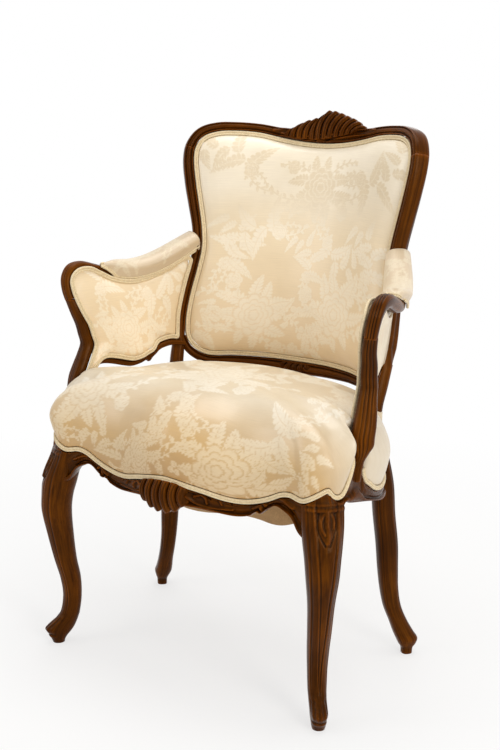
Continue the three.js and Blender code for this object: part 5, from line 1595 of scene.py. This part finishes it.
# Shadows show near the feet only, and the floor runs out to white
away = tree.nodes.new("ShaderNodeVectorMath")
away.operation = "LENGTH"
tree.links.new(tree.nodes.new("ShaderNodeTexCoord").outputs["Object"], away.inputs[0])
out_there = add(tree, "ShaderNodeMapRange", Value=away.outputs["Value"],
                From_Min=0.35, From_Max=1.5, To_Min=0.66)
glow = add(tree, "ShaderNodeEmission", Color=(1, 1, 1), Strength=1.0)
white_to_camera(tree, shader, glow, "Material Output", out_there.outputs["Result"])
floor_mesh.materials.append(paper)

world = bpy.data.worlds.new("studio")
bpy.context.scene.world = world
world.use_nodes = True
tree = world.node_tree
surround = tree.nodes["Background"]
plug(tree, surround, Color=(1.0, 0.985, 0.96), Strength=0.55)
white = add(tree, "ShaderNodeBackground", Color=(1, 1, 1), Strength=1.0)
white_to_camera(tree, surround, white, "World Output")


def lamp(name, place, target_z, size, power, colour):
    """A soft lamp over the scene that points at the chair's middle line."""
    light = bpy.data.lights.new(name, "AREA")
    light.shape = "RECTANGLE"
    light.size, light.size_y = size
    light.energy = power
    light.color = colour
    made = bpy.data.objects.new(name, light)
    made.location = place
    made.rotation_euler = (Vector((0, 0, target_z)) - Vector(place)).to_track_quat("-Z", "Y").to_euler()
    bpy.context.scene.collection.objects.link(made)


lamp("key", (-2.1, -2.3, 1.9), 0.7, (1.5, 1.3), 16, (1.0, 0.98, 0.95))
lamp("top", (0.1, 0.3, 3.0), 0.5, (2.2, 1.6), 36, (1.0, 0.99, 0.97))
lamp("right", (2.6, -1.2, 1.4), 0.5, (0.9, 1.8), 31, (1.0, 0.98, 0.95))
lamp("rim", (-1.2, 2.6, 1.8), 0.6, (1.2, 1.2), 5, (1.0, 0.98, 0.96))

# Camera at the photograph's viewing angle
camera_data = bpy.data.cameras.new("camera")
camera = bpy.data.objects.new("camera", camera_data)
bpy.context.scene.collection.objects.link(camera)
bpy.context.scene.camera = camera
FOCAL = 1210.65
PRINCIPAL = (191.22, 380.63)
WIDE, HIGH = 500, 750
SENSOR = 36
camera_data.sensor_width = SENSOR
camera_data.lens = FOCAL / HIGH * SENSOR
camera_data.shift_x = (WIDE / 2 - PRINCIPAL[0]) / HIGH
camera_data.shift_y = (PRINCIPAL[1] - HIGH / 2) / HIGH
forward = unit(np.array([-0.55404, 0.79728, -0.23954]))
right = unit(np.array([0.821, 0.571, 0.0]))
upward = np.cross(right, forward)
turned = Matrix([[right[k], upward[k], -forward[k]] for k in range(3)])
place = np.array([1157.47, -1627.11, 1052.16]) * MM + np.array([0, FEET_Y, 0])
camera.matrix_world = Matrix.Translation(Vector(place)) @ turned.to_4x4()
camera_data.clip_end = 60

scene = bpy.context.scene
scene.view_settings.view_transform = "Standard"
